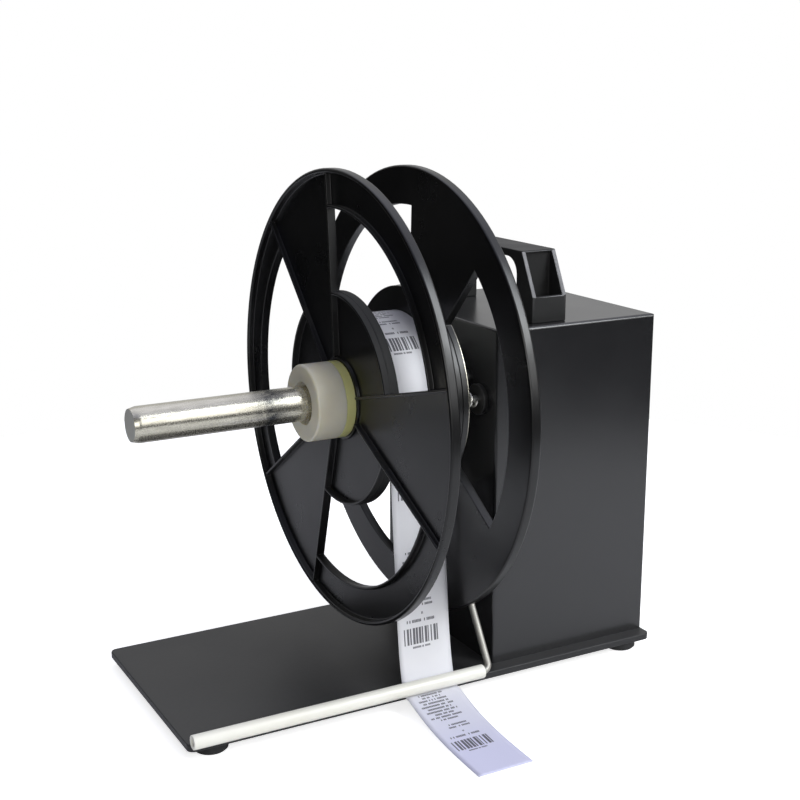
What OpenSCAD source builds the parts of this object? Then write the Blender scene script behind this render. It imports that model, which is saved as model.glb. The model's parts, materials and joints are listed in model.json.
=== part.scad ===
// Label rewinder: a motor box on a base plate, a plated spindle with two spoked reel flanges,
// a lock collar, a wound label roll and a swinging guide arm with a turning sleeve.
// Machine frame: X along the spindle towards the box, Y towards the back, Z up, floor at Z = 0.

/* [Base] */
// Length of the base plate along the spindle
base_l = 298; // [260:1:360]
// Distance from the spindle axis to the front edge of the base plate
base_front = 72; // [68:1:90]
// Thickness of the base plate
base_t = 4; // [3:0.5:8]
// Corner radius of the base plate
base_corner = 4; // [1:0.5:10]
// Diameter of a rubber foot
foot_d = 19; // [14:1:20]
// Height of a rubber foot
foot_h = 5; // [4:0.5:12]
// Distance from the plate's ends to a foot's centre
foot_end_in = 15.5; // [13:0.5:26]
// Distance from the plate's long edges to a foot's centre
foot_side_in = 10.5; // [10:0.5:26]
// Metal left above a foot screw's blind hole
foot_skin = 1; // [0.5:0.25:2]

/* [Housing] */
// Length of the motor box along the spindle
box_l = 109; // [108:1:140]
// Width of the motor box, front to back
box_w = 126; // [116:1:170]
// Height of the box top above the spindle axis
box_over = 44; // [43:1:80]
// Sheet thickness of the box
wall = 1.5; // [1:0.25:3]
// Outer fold radius of the box
box_fold = 1.8; // [1.6:0.1:5]
// Gap between the rear flange and the box
box_gap = 15.7; // [15.5:0.1:25]

/* [Spindle] */
// Diameter of the spindle
spindle_d = 20; // [18:0.5:22]
// Free length of the spindle in front of the front flange
spindle_free = 120.4; // [90:0.1:160]
// Length of the lead-in taper at the spindle's tip
taper_l = 4; // [2:0.5:8]
// Depth of the lead-in taper
taper_in = 1; // [0.5:0.25:3]
// Radial relief of the spindle under the collar and the reel
seat_relief = 0.2; // [0.1:0.05:0.5]
// Distance from the lock collar to the shoulder of the relief
seat_lead = 1; // [0.5:0.25:3]
// Thickness of the drive disc on the spindle
drive_t = 1.5; // [1:0.5:4]
// Diameter of the drive disc
drive_d = 118; // [60:1:120]

/* [Flanges] */
// Outer diameter of a reel flange
flange_d = 260; // [220:1:320]
// Thickness of a flange's rim
flange_t = 6; // [5:0.5:8]
// Width of the outer ring
ring_w = 22; // [16:1:30]
// Width of the raised lip round the rim
lip_w = 3; // [2:0.5:8]
// Depth of the spoke ribs behind the lip
web_recess = 0.8; // [0.4:0.1:1.5]
// Depth of the ring and the spoke panels behind the ribs
ring_step = 3.2; // [1:0.1:3.5]
// Width of the rib along a spoke's edge and round a window
rib_w = 1.6; // [1:0.2:4]
// Diameter of the hub disc
hub_d = 123; // [110:1:140]
// Thickness of the hub disc
hub_t = 4.75; // [4:0.25:8]
// Depth of the hub disc's outer face behind the rim
hub_step = 4.75; // [4.5:0.25:6]
// Diameter of the raised boss round the bore
boss_d = 47; // [46:1:54]
// Angle covered by one spoke
spoke_angle = 40; // [24:1:60]
// Turn of the front flange's first spoke
front_turn = 65.5; // [0:0.5:119]
// Turn of the rear flange's first spoke
rear_turn = 112.3; // [0:0.1:119]
// Clearance between a reel flange and the base plate
reel_clear = 23; // [15:1:60]

/* [Collar] */
// Diameter of the lock collar
collar_d = 44; // [36:1:60]
// Length of the lock collar
collar_l = 17.4; // [12:0.2:30]
// Length of the grip ring
grip_l = 5.6; // [3:0.2:10]
// Radial step of the collar's open mouth
mouth_step = 2.2; // [0.5:0.1:3]
// Depth of the collar's open mouth
mouth_depth = 3; // [1:0.5:8]

/* [Label] */
// Width of the label tape
label_w = 33; // [20:1:60]
// Side gap between label roll and hub disc
label_side = 0.65; // [0.4:0.05:3]
// Diameter of the label roll
roll_d = 95; // [90:1:110]
// Thickness of the label tape as modelled
label_t = 0.4; // [0.2:0.1:0.8]
// Bore of the paper core
core_bore = 76; // [70:0.5:80]
// Wall of the paper core
core_wall = 4; // [2:0.5:5]
// Distance from the spindle axis to the tape's free end
label_reach = 156; // [140:1:220]
// Sideways drift of the tape between roll and guide sleeve
drift_hang = 3; // [0:0.5:4]
// Sideways drift of the tape's tail on the floor
drift_tail = 5; // [0:0.5:12]

/* [Guide arm] */
// Diameter of the arm rod
rod_d = 4; // [3:0.5:5]
// Bend radius of the arm rod at its centre line
rod_bend = 4; // [4:0.5:10]
// Distance by which the rod passes behind the spindle axis
arm_offset = 14.4; // [0:0.1:15]
// Outer diameter of the guide sleeve
sleeve_d = 7.8; // [6.4:0.2:9]
// Distance of the guide sleeve's axis in front of the base plate
sleeve_front = 4; // [4:0.1:12]
// Height of the guide sleeve's axis above the base plate's top
sleeve_up = 4.1; // [4:0.1:12]
// Length of sleeve in front of the rod's end
sleeve_open = 6; // [2:0.5:12]
// Thickness of the arm hub
arm_hub_t = 6; // [6:0.5:8]
// Outer diameter of the arm hub
arm_hub_d = 48; // [46:0.5:52]
// Distance of the stop post from the spindle axis
stop_r = 46; // [44:1:54]
// Height of the stop post above the spindle axis
stop_up = 2; // [0:0.5:6]
// Outer diameter of the stop spring
spring_d = 9; // [8:0.5:10]
// Wire diameter of the stop spring
spring_wire = 1.8; // [1:0.1:1.8]
// Curls of the stop spring
spring_turns = 2; // [1.5:0.5:2.5]

/* [Handle] */
// Length of the carry handle
handle_l = 112; // [100:1:118]
// Width of the carry handle
handle_w = 23; // [18:1:30]
// Height of the carry handle
handle_h = 39.6; // [34:0.2:60]
// Height of a handle foot's front wall
handle_foot_h = 15; // [10:0.2:20]
// Backward slope of a handle end
handle_rake = 12; // [6:0.1:14]
// Length of a handle leg at its foot
handle_leg = 16.8; // [15:0.2:20]
// Thickness of the grip bar
grip_t = 4.4; // [4:0.2:8]
// Radius of the hand hole's upper corners
hand_fillet = 10; // [4:0.5:14]
// Wall of the handle's screw pockets
pocket_wall = 2.7; // [2:0.1:3.5]
// Skin left over a screw pocket
pocket_top = 1.2; // [0.8:0.1:3]
// Distance from the box's spindle side to the handle's middle
handle_in = 38.6; // [20:0.2:60]

/* [Drive] */
// Outer diameter of a spindle bearing
bearing_d = 42; // [38:1:46]
// Width of a spindle bearing
bearing_w = 12; // [8:0.5:12]
// Distance between the two bearings
bearing_apart = 7.5; // [4:0.5:8]
// Wall of the bearing barrel
barrel_wall = 5; // [3:0.5:6]
// Thickness of the bearing flange
bearing_flange_t = 6; // [4:0.5:8]
// Radius of the bearing and motor screw circle
bolt_r = 34; // [33.5:0.5:36]
// Length of a motor pillar
pillar_l = 40.5; // [40:0.5:44]
// Thickness of the motor plate
motor_plate_t = 3; // [2:0.5:5]
// Diameter of the gearbox
gearbox_d = 60; // [52:1:64]
// Length of the gearbox
gearbox_l = 23; // [16:1:24]
// Diameter of the motor can
motor_d = 50; // [36:1:54]
// Gap between the motor can and the box's far wall
motor_clear = 6.5; // [4:0.5:14]
// Diameter of the gearbox output shaft
out_shaft_d = 10; // [8:0.5:11]

/* [Controls] */
// Distance from the box's spindle side to the direction switch
switch_in = 30; // [20:1:45]
// Distance from the box's spindle side to the speed knob
knob_in = 62; // [58:1:75]
// Distance from the box's far side to the power inlet
inlet_out = 17; // [11:1:21]
// Height of the controls above the base plate
controls_up = 46; // [30:1:60]
// Diameter of the speed knob
knob_d = 18; // [14:1:24]
// Height of the speed knob
knob_h = 13; // [10:0.5:18]

/* [Hidden] */
$fn = 96;

// Clearances: running fits, screws in holes, and pieces that only pass each other
run_fit = 0.05;
screw_fit = 0.1;
pass_gap = 0.3;
eps = 0.01;

// Radii
spindle_r = spindle_d / 2;
flange_r = flange_d / 2;
hub_r = hub_d / 2;
ring_in_r = flange_r - ring_w;
collar_r = collar_d / 2;
roll_r = roll_d / 2;
core_r = core_bore / 2;
rod_r = rod_d / 2;
sleeve_r = sleeve_d / 2;
bearing_r = bearing_d / 2;
barrel_r = bearing_r + barrel_wall;
drive_r = drive_d / 2;

// Heights
base_top = foot_h + base_t;
axis_h = flange_r + reel_clear;
axis_z = base_top + axis_h;
box_h = axis_h + box_over;
box_top = base_top + box_h;

// Stations along the spindle, from the front flange's rim
boss_rise = 1.75;
hub_back = hub_step + hub_t;
reel_gap = label_w + 2 * label_side;
flange_span = 2 * hub_back + reel_gap;
boss_front = hub_step - boss_rise;
drive_x0 = flange_span - web_recess;
drive_back = drive_x0 + drive_t;
box_x0 = flange_span + box_gap;
box_x1 = box_x0 + box_l;
base_x0 = box_x1 - base_l;
wall_in = box_x0 + wall;
label_x = hub_back + label_side;
label_mid = label_x + label_w / 2;

// Part origin: under the middle of the object's box
mid_x = (box_x1 - spindle_free) / 2;
mid_y = (flange_r - label_reach) / 2;

// Bearing stack inside the box
nose_r = 16;
nose_front = drive_back + 0.5;
bearing_a = wall_in + 2;
bearing_b = bearing_a + bearing_w + bearing_apart;
barrel_end = bearing_b + bearing_w;
bearing_flange_end = wall_in + bearing_flange_t;
bearing_flange_r = bolt_r + 6;
plate_x = bearing_flange_end + pillar_l;
gearbox_x = plate_x + motor_plate_t;
motor_x = gearbox_x + gearbox_l;
motor_l = box_x1 - wall - motor_clear - motor_x;
spindle_end = plate_x - 5;
socket_l = 20;
m5_r = 2.5;
m5_head_r = 4.5;

// Arm
clip_t = 1.2;
hub_x0 = nose_front + clip_t + pass_gap / 2;
hub_x1 = hub_x0 + arm_hub_t;
arm_x = hub_x0 + arm_hub_t / 2;
sleeve_y = -base_front - sleeve_front;
sleeve_z = base_top + sleeve_up;
arm_down = axis_z - sleeve_z;
arm_reach = round(100 * sqrt(pow(sleeve_y, 2) + pow(arm_down, 2) - pow(arm_offset, 2))) / 100;
arm_turn = atan2(-arm_down, sleeve_y) - atan2(arm_offset, arm_reach);
rod_in = round(100 * sqrt(max(pow(nose_r + 1.2, 2) - pow(max(arm_offset - rod_r, 0), 2), 1))) / 100;
sleeve_x1 = arm_x - rod_bend - 0.5;
sleeve_x0 = base_x0 + 0.5;
trip_r = bolt_r - 3;
trip_pin_r = 1.5;
tail_turn = arm_turn + 180;
bolt_turn = tail_turn + 11.5;
arm_swing = 67;
slot_half = trip_pin_r + 0.7;
slot_over = asin(slot_half / trip_r) + 1;
trip_end = bearing_flange_end + 4;
stop_y = -sqrt(stop_r * stop_r - stop_up * stop_up);
stop_z = axis_z + stop_up;
stop_pin_r = spring_d / 2 - spring_wire - pass_gap;
stop_head_t = 1.5;
stop_head_x = nose_front + 0.2;
stop_washer_t = 3;
stop_washer_r = 8.8;

// Fasteners and small sizes
m4_r = 2;
m4_head_r = 3.6;
m4_head_t = 2.4;
m3_r = 1.5;
m3_head_r = 2.8;
m3_head_t = 1.8;

// A disc or tube placed along the spindle axis, from station x0, with its local X at turn degrees
module on_axis(x0, turn = 0) {
    translate([x0, 0, axis_z])
        rotate([0, 90, 0])
            rotate(90 + turn)
                children();
}

// The part's own frame
module place() {
    translate([-mid_x, -mid_y, 0])
        children();
}

// A round bar along X from x0 to x1, at y, z
module bar_x(x0, x1, y, z, r) {
    translate([x0, y, z])
        rotate([0, 90, 0])
            cylinder(r = r, h = x1 - x0);
}

// A round bar along Y from y0 to y1, at x, z
module bar_y(x, y0, y1, z, r) {
    translate([x, y0, z])
        rotate([-90, 0, 0])
            cylinder(r = r, h = y1 - y0);
}

module tube(r_out, r_in, h) {
    difference() {
        cylinder(r = r_out, h = h);
        translate([0, 0, -1])
            cylinder(r = r_in, h = h + 2);
    }
}

// A rectangle with round corners, by its lower corner
module round_rect(w, d, r) {
    translate([r, 0])
        square([w - 2 * r, d]);
    translate([0, r])
        square([w, d - 2 * r]);
    for (x = [r, w - r], y = [r, d - r])
        translate([x, y])
            circle(r = r);
}

// A ring sector from turn a0 to a1
module arc_band(r_in, r_out, a0, a1) {
    far = 2 * r_out;
    intersection() {
        difference() {
            circle(r = r_out);
            circle(r = r_in);
        }
        polygon([[0, 0], far * [cos(a0), sin(a0)], far * [cos((a0 + a1) / 2), sin((a0 + a1) / 2)],
                 far * [cos(a1), sin(a1)]]);
    }
}

// Pan-head screw, head up, shank down from Z = 0
module screw(r, head_r, head_t, length) {
    cylinder(r = head_r, h = head_t);
    translate([0, 0, -length])
        cylinder(r = r, h = length);
}

// Places of the repeated fasteners
foot_places = [for (x = [base_x0 + foot_end_in, box_x1 - foot_end_in],
                    y = [-base_front + foot_side_in, box_w / 2 - foot_side_in]) [x, y]];
tab_l = 16;
tab_in = 24;
tab_far = 42;
tab_depth = 14;
tab_places = [for (x = [box_x0 + tab_in, box_x1 - tab_far], s = [-1, 1])
                 [x, s * (box_w / 2 - wall - tab_depth / 2)]];

module base_plate() {
    place()
        color([0.10, 0.10, 0.11])
            difference() {
                translate([base_x0, -base_front, foot_h])
                    linear_extrude(base_t)
                        round_rect(base_l, base_front + box_w / 2, base_corner);
                for (p = foot_places)
                    translate([p[0], p[1], foot_h - 1])
                        cylinder(r = m4_r + screw_fit, h = base_t + 1 - foot_skin);
                for (p = tab_places)
                    translate([p[0], p[1], foot_h - 1])
                        cylinder(r = m4_r + screw_fit, h = base_t + 2);
                for (p = board_places)
                    translate([p[0], p[1], foot_h - 1])
                        cylinder(r = m3_r + screw_fit, h = base_t + 2);
            }
}

foot_recess_r = m4_head_r + 0.6;
foot_recess = foot_h - 1.8;
module rubber_feet() {
    place()
        color([0.05, 0.05, 0.05])
            for (p = foot_places)
                translate([p[0], p[1], 0])
                    rotate_extrude()
                        polygon([[foot_recess_r, 0], [foot_d / 2 - 1, 0], [foot_d / 2, 1],
                                 [foot_d / 2, foot_h], [m4_r + screw_fit, foot_h],
                                 [m4_r + screw_fit, foot_recess], [foot_recess_r, foot_recess]]);
}

module foot_screws() {
    place()
        color("silver")
            for (p = foot_places)
                translate([p[0], p[1], foot_recess])
                    mirror([0, 0, 1])
                        screw(m4_r, m4_head_r, m4_head_t, base_top - foot_skin - screw_fit - foot_recess);
}

// A box with all its edges but the bottom ones rounded
module folded_block(l, w, h, r) {
    intersection() {
        linear_extrude(h)
            round_rect(l, w, r);
        translate([0, w, 0])
            rotate([90, 0, 0])
                linear_extrude(w)
                    round_rect_up(l, h, r);
        rotate([90, 0, 90])
            linear_extrude(l)
                round_rect_up(w, h, r);
    }
}

// A rectangle with only its two upper corners rounded
module round_rect_up(w, h, r) {
    square([w, h - r]);
    translate([r, 0])
        square([w - 2 * r, h]);
    for (x = [r, w - r])
        translate([x, h - r])
            circle(r = r);
}

switch_w = 13.2;
switch_h = 19.4;
pot_bush_r = 3.5;
inlet_r = 4;
control_y = box_w / 2;
control_z = base_top + controls_up;
switch_x = box_x0 + switch_in;
knob_x = box_x0 + knob_in;
inlet_x = box_x1 - inlet_out;
handle_x = box_x0 + handle_in;
handle_screw_y = handle_l / 2 - pocket_wall - 5;
module housing_shell() {
    place()
        color([0.08, 0.08, 0.09])
            difference() {
                union() {
                    translate([box_x0, -box_w / 2, base_top])
                        difference() {
                            folded_block(box_l, box_w, box_h, box_fold);
                            translate([wall, wall, -1])
                                folded_block(box_l - 2 * wall, box_w - 2 * wall, box_h - wall + 1,
                                             max(box_fold - wall, 0.3));
                        }
                    for (p = tab_places)
                        translate([p[0] - tab_l / 2, p[1] - tab_depth / 2, base_top])
                            cube([tab_l, tab_depth, wall]);
                }
                on_axis(box_x0 - 1)
                    cylinder(r = nose_r + run_fit, h = wall + 2);
                bolt_circle(box_x0 - 1, wall + 2, m5_r + screw_fit);
                trip_slot(box_x0 - 1, wall + 2);
                bar_x(box_x0 - 1, wall_in + 1, stop_y, stop_z, stop_pin_r + screw_fit);
                for (p = tab_places)
                    translate([p[0], p[1], base_top - 1])
                        cylinder(r = m4_r + screw_fit, h = wall + 2);
                for (s = [-1, 1])
                    translate([handle_x, s * handle_screw_y, box_top - wall - 1])
                        cylinder(r = m4_r + screw_fit, h = wall + 2);
                translate([switch_x - switch_w / 2, control_y - wall - 1, control_z - switch_h / 2])
                    cube([switch_w, wall + 2, switch_h]);
                bar_y(knob_x, control_y - wall - 1, control_y + 1, control_z, pot_bush_r + screw_fit);
                bar_y(inlet_x, control_y - wall - 1, control_y + 1, control_z, inlet_r + screw_fit);
            }
}

// Four holes or bars on the bearing screw circle
module bolt_circle(x0, length, r) {
    for (i = [0 : 3])
        on_axis(x0, bolt_turn + 90 * i)
            translate([bolt_r, 0, 0])
                cylinder(r = r, h = length);
}

// Curved slot that the arm's trip pin sweeps through
module trip_slot(x0, length) {
    on_axis(x0)
        linear_extrude(length)
            arc_band(trip_r - slot_half, trip_r + slot_half, tail_turn - arm_swing - slot_over,
                     tail_turn + slot_over);
}

module housing_screws() {
    place()
        color("silver")
            for (p = tab_places)
                translate([p[0], p[1], foot_h])
                    mirror([0, 0, 1])
                        screw(m4_r, m4_head_r, m4_head_t, base_t + wall + 4);
}

pocket_floor = 4;
pocket_back = handle_l / 2 - handle_leg + 3.2;
module carry_handle() {
    half = handle_l / 2;
    hole = half - handle_leg;
    grip_low = handle_h - grip_t;
    place()
        color([0.06, 0.06, 0.06])
            translate([handle_x - handle_w / 2, 0, box_top])
                difference() {
                    rotate([90, 0, 90])
                        linear_extrude(handle_w)
                            difference() {
                                polygon([[-half, 0], [-half, handle_foot_h], [handle_rake - half, handle_h],
                                         [half - handle_rake, handle_h], [half, handle_foot_h], [half, 0]]);
                                translate([hand_fillet - hole, -1])
                                    square([2 * (hole - hand_fillet), grip_low + 1]);
                                translate([-hole, -1])
                                    square([2 * hole, grip_low - hand_fillet + 1]);
                                for (s = [-1, 1])
                                    translate([s * (hole - hand_fillet), grip_low - hand_fillet])
                                        circle(r = hand_fillet);
                            }
                    for (s = [0, 1])
                        mirror([0, s, 0])
                            translate([pocket_wall, pocket_back, pocket_floor]) {
                                cube([handle_w - 2 * pocket_wall, half - pocket_wall - pocket_back,
                                      handle_h - pocket_floor - grip_t]);
                                translate([0, 0, handle_foot_h - pocket_floor])
                                    cube([handle_w - 2 * pocket_wall, handle_leg,
                                          handle_h - handle_foot_h - pocket_top]);
                            }
                    for (s = [-1, 1])
                        translate([handle_w / 2, s * handle_screw_y, -1])
                            cylinder(r = m4_r + screw_fit, h = handle_h);
                }
}

module handle_screws() {
    place()
        color("silver")
            for (s = [-1, 1])
                translate([handle_x, s * handle_screw_y, box_top + pocket_floor])
                    screw(m4_r, m4_head_r, m4_head_t, pocket_floor + wall + 5);
}

// Turned housing: nose outside the box, flange against its wall, barrel inside
module bearing_housing() {
    place()
        color([0.62, 0.63, 0.65])
            difference() {
                union() {
                    on_axis(nose_front)
                        cylinder(r = nose_r, h = bearing_flange_end - nose_front);
                    on_axis(wall_in)
                        cylinder(r = bearing_flange_r, h = bearing_flange_t);
                    on_axis(wall_in)
                        cylinder(r = barrel_r, h = barrel_end - wall_in);
                }
                on_axis(nose_front - 1)
                    cylinder(r = spindle_r + 1.5, h = barrel_end);
                on_axis(bearing_a)
                    cylinder(r = bearing_r + run_fit, h = barrel_end);
                bolt_circle(wall_in - 1, bearing_flange_t + 2, m5_r + screw_fit);
                trip_slot(wall_in - 1, bearing_flange_t + 2);
                arm_switch_holes(bearing_flange_end - 4, 5);
            }
}

module spindle_bearings() {
    place()
        color([0.75, 0.76, 0.78])
            for (x = [bearing_a, bearing_b])
                on_axis(x)
                    tube(bearing_r, spindle_r + run_fit, bearing_w);
}

module bearing_spacer() {
    place()
        color([0.55, 0.56, 0.58])
            on_axis(bearing_a + bearing_w)
                tube(bearing_r - 0.2, spindle_r + 3, bearing_apart);
}

bolt_head_t = 3;
module bearing_screws() {
    place()
        color("silver") {
            bolt_circle(box_x0 - bolt_head_t, bolt_head_t, m5_head_r);
            bolt_circle(box_x0 - bolt_head_t / 2, gearbox_x - box_x0 + bolt_head_t / 2 - eps, m5_r);
        }
}

pillar_r = 4.5;
module motor_pillars() {
    place()
        color([0.7, 0.7, 0.72])
            for (i = [0 : 3])
                on_axis(bearing_flange_end, bolt_turn + 90 * i)
                    translate([bolt_r, 0, 0])
                        tube(pillar_r, m5_r + screw_fit, pillar_l);
}

gear_screw_r = 24;
pilot_r = 11;
module motor_plate() {
    place()
        color([0.66, 0.67, 0.68])
            difference() {
                on_axis(plate_x)
                    cylinder(r = bearing_flange_r, h = motor_plate_t);
                on_axis(plate_x - 1)
                    cylinder(r = pilot_r + screw_fit, h = motor_plate_t + 2);
                bolt_circle(plate_x - 1, motor_plate_t + 2, m5_r + screw_fit);
                gear_screw_circle(plate_x - 1, motor_plate_t + 2, m4_r + screw_fit);
            }
}

module gear_screw_circle(x0, length, r) {
    for (i = [0 : 3])
        on_axis(x0, bolt_turn + 45 + 90 * i)
            translate([gear_screw_r, 0, 0])
                cylinder(r = r, h = length);
}

gear_screw_l = 9;
module gearbox() {
    place()
        color([0.45, 0.46, 0.48])
            difference() {
                union() {
                    on_axis(gearbox_x)
                        cylinder(r = gearbox_d / 2, h = gearbox_l);
                    on_axis(gearbox_x - motor_plate_t)
                        cylinder(r = pilot_r, h = motor_plate_t + 1);
                }
                on_axis(gearbox_x - motor_plate_t - 1)
                    cylinder(r = out_shaft_d / 2 + run_fit, h = motor_plate_t + gearbox_l - 4);
                gear_screw_circle(gearbox_x - 1, gear_screw_l + 1, m4_r + screw_fit);
            }
}

module gearbox_screws() {
    place()
        color("silver") {
            gear_screw_circle(plate_x - m4_head_t, m4_head_t, m4_head_r);
            gear_screw_circle(plate_x - 1, gear_screw_l + 1, m4_r);
        }
}

module motor_can() {
    place()
        color([0.72, 0.73, 0.74])
            on_axis(motor_x)
                rotate_extrude()
                    polygon([[0, 0], [motor_d / 2, 0], [motor_d / 2, motor_l - 2], [motor_d / 2 - 2, motor_l],
                             [0, motor_l]]);
}

arm_spacer_r = 20;
module arm_spacer() {
    place()
        color([0.85, 0.85, 0.82])
            on_axis(hub_x1 + pass_gap)
                tube(arm_spacer_r, nose_r + run_fit, box_x0 - hub_x1 - pass_gap);
}

module arm_clip() {
    place()
        color([0.35, 0.35, 0.37])
            on_axis(nose_front)
                tube(nose_r + 2.2, nose_r + eps, clip_t);
}

stop_tail = 6;
module stop_post() {
    place()
        color("silver") {
            bar_x(stop_head_x, stop_head_x + stop_head_t, stop_y, stop_z, spring_d / 2);
            bar_x(stop_head_x + stop_head_t, wall_in + stop_tail, stop_y, stop_z, stop_pin_r);
        }
}

// Coil spring as one unbroken tube along X, swept ring by ring
spring_x0 = stop_head_x + stop_head_t + spring_wire / 2 + pass_gap;
spring_x1 = box_x0 - stop_washer_t - spring_wire / 2 - pass_gap;
spring_mid_r = (spring_d - spring_wire) / 2;
spring_rings = 8;
spring_start = 180;
spring_sides = 6;
spring_count = round(spring_turns * spring_rings);
spring_pitch = (spring_x1 - spring_x0) / spring_turns;
function coil_point(i) =
    let (a = spring_start + 360 * i / spring_rings)
    [spring_x0 + (spring_x1 - spring_x0) * i / spring_count, spring_mid_r * cos(a), spring_mid_r * sin(a)];
function coil_ring(i) =
    let (a = spring_start + 360 * i / spring_rings, out = [0, cos(a), sin(a)],
         run = [spring_pitch, -2 * PI * spring_mid_r * sin(a), 2 * PI * spring_mid_r * cos(a)],
         side = cross(out, run / norm(run)))
    [for (k = [0 : spring_sides - 1])
        coil_point(i) + spring_wire / 2 * (cos(360 * k / spring_sides) * out + sin(360 * k / spring_sides) * side)];
spring_gap = min([for (i = [0 : spring_count], j = [0 : spring_count])
                     if (j - i >= spring_rings / 2) norm(coil_point(j) - coil_point(i))]) - spring_wire;
echo(spring_gap_to_itself = spring_gap);

// Faces of a swept tube of n rings with m sides, as triangles
function tube_faces(n, m) = concat(
    [for (k = [1 : m - 2]) [0, k + 1, k]],
    [for (k = [1 : m - 2]) [(n - 1) * m, (n - 1) * m + k, (n - 1) * m + k + 1]],
    [for (i = [0 : n - 2], k = [0 : m - 1]) [i * m + k, i * m + (k + 1) % m, (i + 1) * m + k]],
    [for (i = [0 : n - 2], k = [0 : m - 1])
        [i * m + (k + 1) % m, (i + 1) * m + (k + 1) % m, (i + 1) * m + k]]);

module stop_spring() {
    place()
        color([0.8, 0.8, 0.78])
            translate([0, stop_y, stop_z])
                polyhedron([for (i = [0 : spring_count]) each coil_ring(i)],
                           tube_faces(spring_count + 1, spring_sides));
}

module stop_washer() {
    place()
        color([0.07, 0.07, 0.07])
            translate([0, 0, 0])
                difference() {
                    bar_x(box_x0 - stop_washer_t, box_x0, stop_y, stop_z, stop_washer_r);
                    bar_x(box_x0 - stop_washer_t - 1, box_x0 + 1, stop_y, stop_z, stop_pin_r + screw_fit);
                }
}

stop_nut_t = 4;
module stop_nut() {
    place()
        color("silver")
            difference() {
                translate([wall_in, stop_y, stop_z])
                    rotate([0, 90, 0])
                        cylinder(r = 5, h = stop_nut_t, $fn = 6);
                bar_x(wall_in - 1, wall_in + stop_nut_t + 1, stop_y, stop_z, stop_pin_r + eps);
            }
}

// Micro switch on the bearing flange, its lever ending just outside the trip pin at rest
arm_switch_l = 20;
arm_switch_w = 6.4;
arm_switch_h = 10;
arm_switch_turn = tail_turn - 14;
arm_switch_r = trip_r + trip_pin_r + 2 + arm_switch_h / 2;
arm_switch_hole = 4.75;
module at_arm_switch(x0) {
    on_axis(x0, arm_switch_turn)
        translate([arm_switch_r, 0, 0])
            children();
}

module arm_switch_holes(x0, length) {
    at_arm_switch(x0)
        for (s = [-1, 1])
            translate([-2, s * arm_switch_hole, 0])
                cylinder(r = 1 + screw_fit, h = length);
}

module arm_switch() {
    place()
        color([0.15, 0.15, 0.16])
            difference() {
                at_arm_switch(bearing_flange_end)
                    union() {
                        translate([-arm_switch_h / 2, -arm_switch_l / 2, 0])
                            cube([arm_switch_h, arm_switch_l, arm_switch_w]);
                        translate([-arm_switch_h / 2 - 1.2, -arm_switch_l / 2 + 2, arm_switch_w / 2 - 1.5])
                            cube([1.4, 2, 3]);
                        translate([-arm_switch_h / 2 - 1.2, -arm_switch_l / 2 + 2, arm_switch_w / 2 - 1.5])
                            cube([0.5, arm_switch_l - 2, 3]);
                    }
                arm_switch_holes(bearing_flange_end - 1, arm_switch_w + 2);
            }
}

module arm_switch_screws() {
    place()
        color("silver")
            at_arm_switch(bearing_flange_end + arm_switch_w)
                for (s = [-1, 1])
                    translate([-2, s * arm_switch_hole, 0])
                        screw(1, 1.9, 1.4, arm_switch_w + 3);
}

// Control board beside the motor, on four standoffs
board_in = 14;
board_side = 16;
board_x = box_x0 + board_in;
board_l = 72;
board_w = 46;
board_y = -box_w / 2 + wall + board_side;
board_t = 1.6;
standoff_h = 9;
board_hole_in = 4;
board_z = base_top + standoff_h;
board_places = [for (x = [board_x + board_hole_in, board_x + board_l - board_hole_in],
                     y = [board_y + board_hole_in, board_y + board_w - board_hole_in]) [x, y]];
module control_board() {
    place()
        color([0.05, 0.30, 0.16])
            difference() {
                translate([board_x, board_y, board_z])
                    cube([board_l, board_w, board_t]);
                for (p = board_places)
                    translate([p[0], p[1], board_z - 1])
                        cylinder(r = m3_r + screw_fit, h = board_t + 2);
            }
}

// Three capacitors, a regulator on its cooler, and a terminal block
cap_r = 5;
cap_h = 16;
cap_apart = 14;
cap_at = [16, 34];
cooler_at = [48, 10];
cooler_l = 14;
cooler_w = 12;
cooler_h = 22;
terminal_at = [12, 6];
terminal_l = 28;
terminal_w = 8;
terminal_h = 10;
module board_parts() {
    part_z = board_z + board_t;
    place() {
        color([0.10, 0.12, 0.35])
            for (i = [0 : 2])
                translate([board_x + cap_at[0] + cap_apart * i, board_y + cap_at[1], part_z])
                    cylinder(r = cap_r, h = cap_h);
        color([0.55, 0.56, 0.58])
            translate([board_x + cooler_at[0], board_y + cooler_at[1], part_z])
                cube([cooler_l, cooler_w, cooler_h]);
        color([0.05, 0.35, 0.10])
            translate([board_x + terminal_at[0], board_y + terminal_at[1], part_z])
                cube([terminal_l, terminal_w, terminal_h]);
    }
}

module board_standoffs() {
    place()
        color([0.75, 0.68, 0.40])
            for (p = board_places)
                translate([p[0], p[1], base_top])
                    tube(3, m3_r + run_fit, standoff_h);
}

module board_screws() {
    place()
        color("silver")
            for (p = board_places)
                translate([p[0], p[1], board_z + board_t])
                    screw(m3_r, m3_head_r, m3_head_t, board_t + standoff_h + base_t / 2);
}

inlet_lip = 2;
inlet_depth = 12;
inlet_hole_r = 2.9;
inlet_pin_r = 1.05;
module power_inlet() {
    place()
        color([0.06, 0.06, 0.06]) {
            difference() {
                union() {
                    bar_y(inlet_x, control_y - wall - inlet_depth, control_y, control_z, inlet_r);
                    bar_y(inlet_x, control_y, control_y + inlet_lip, control_z, inlet_r + 1.6);
                }
                bar_y(inlet_x, control_y - 8, control_y + inlet_lip + 1, control_z, inlet_hole_r);
            }
            bar_y(inlet_x, control_y - 8.5, control_y + 0.5, control_z, inlet_pin_r);
        }
}

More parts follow.
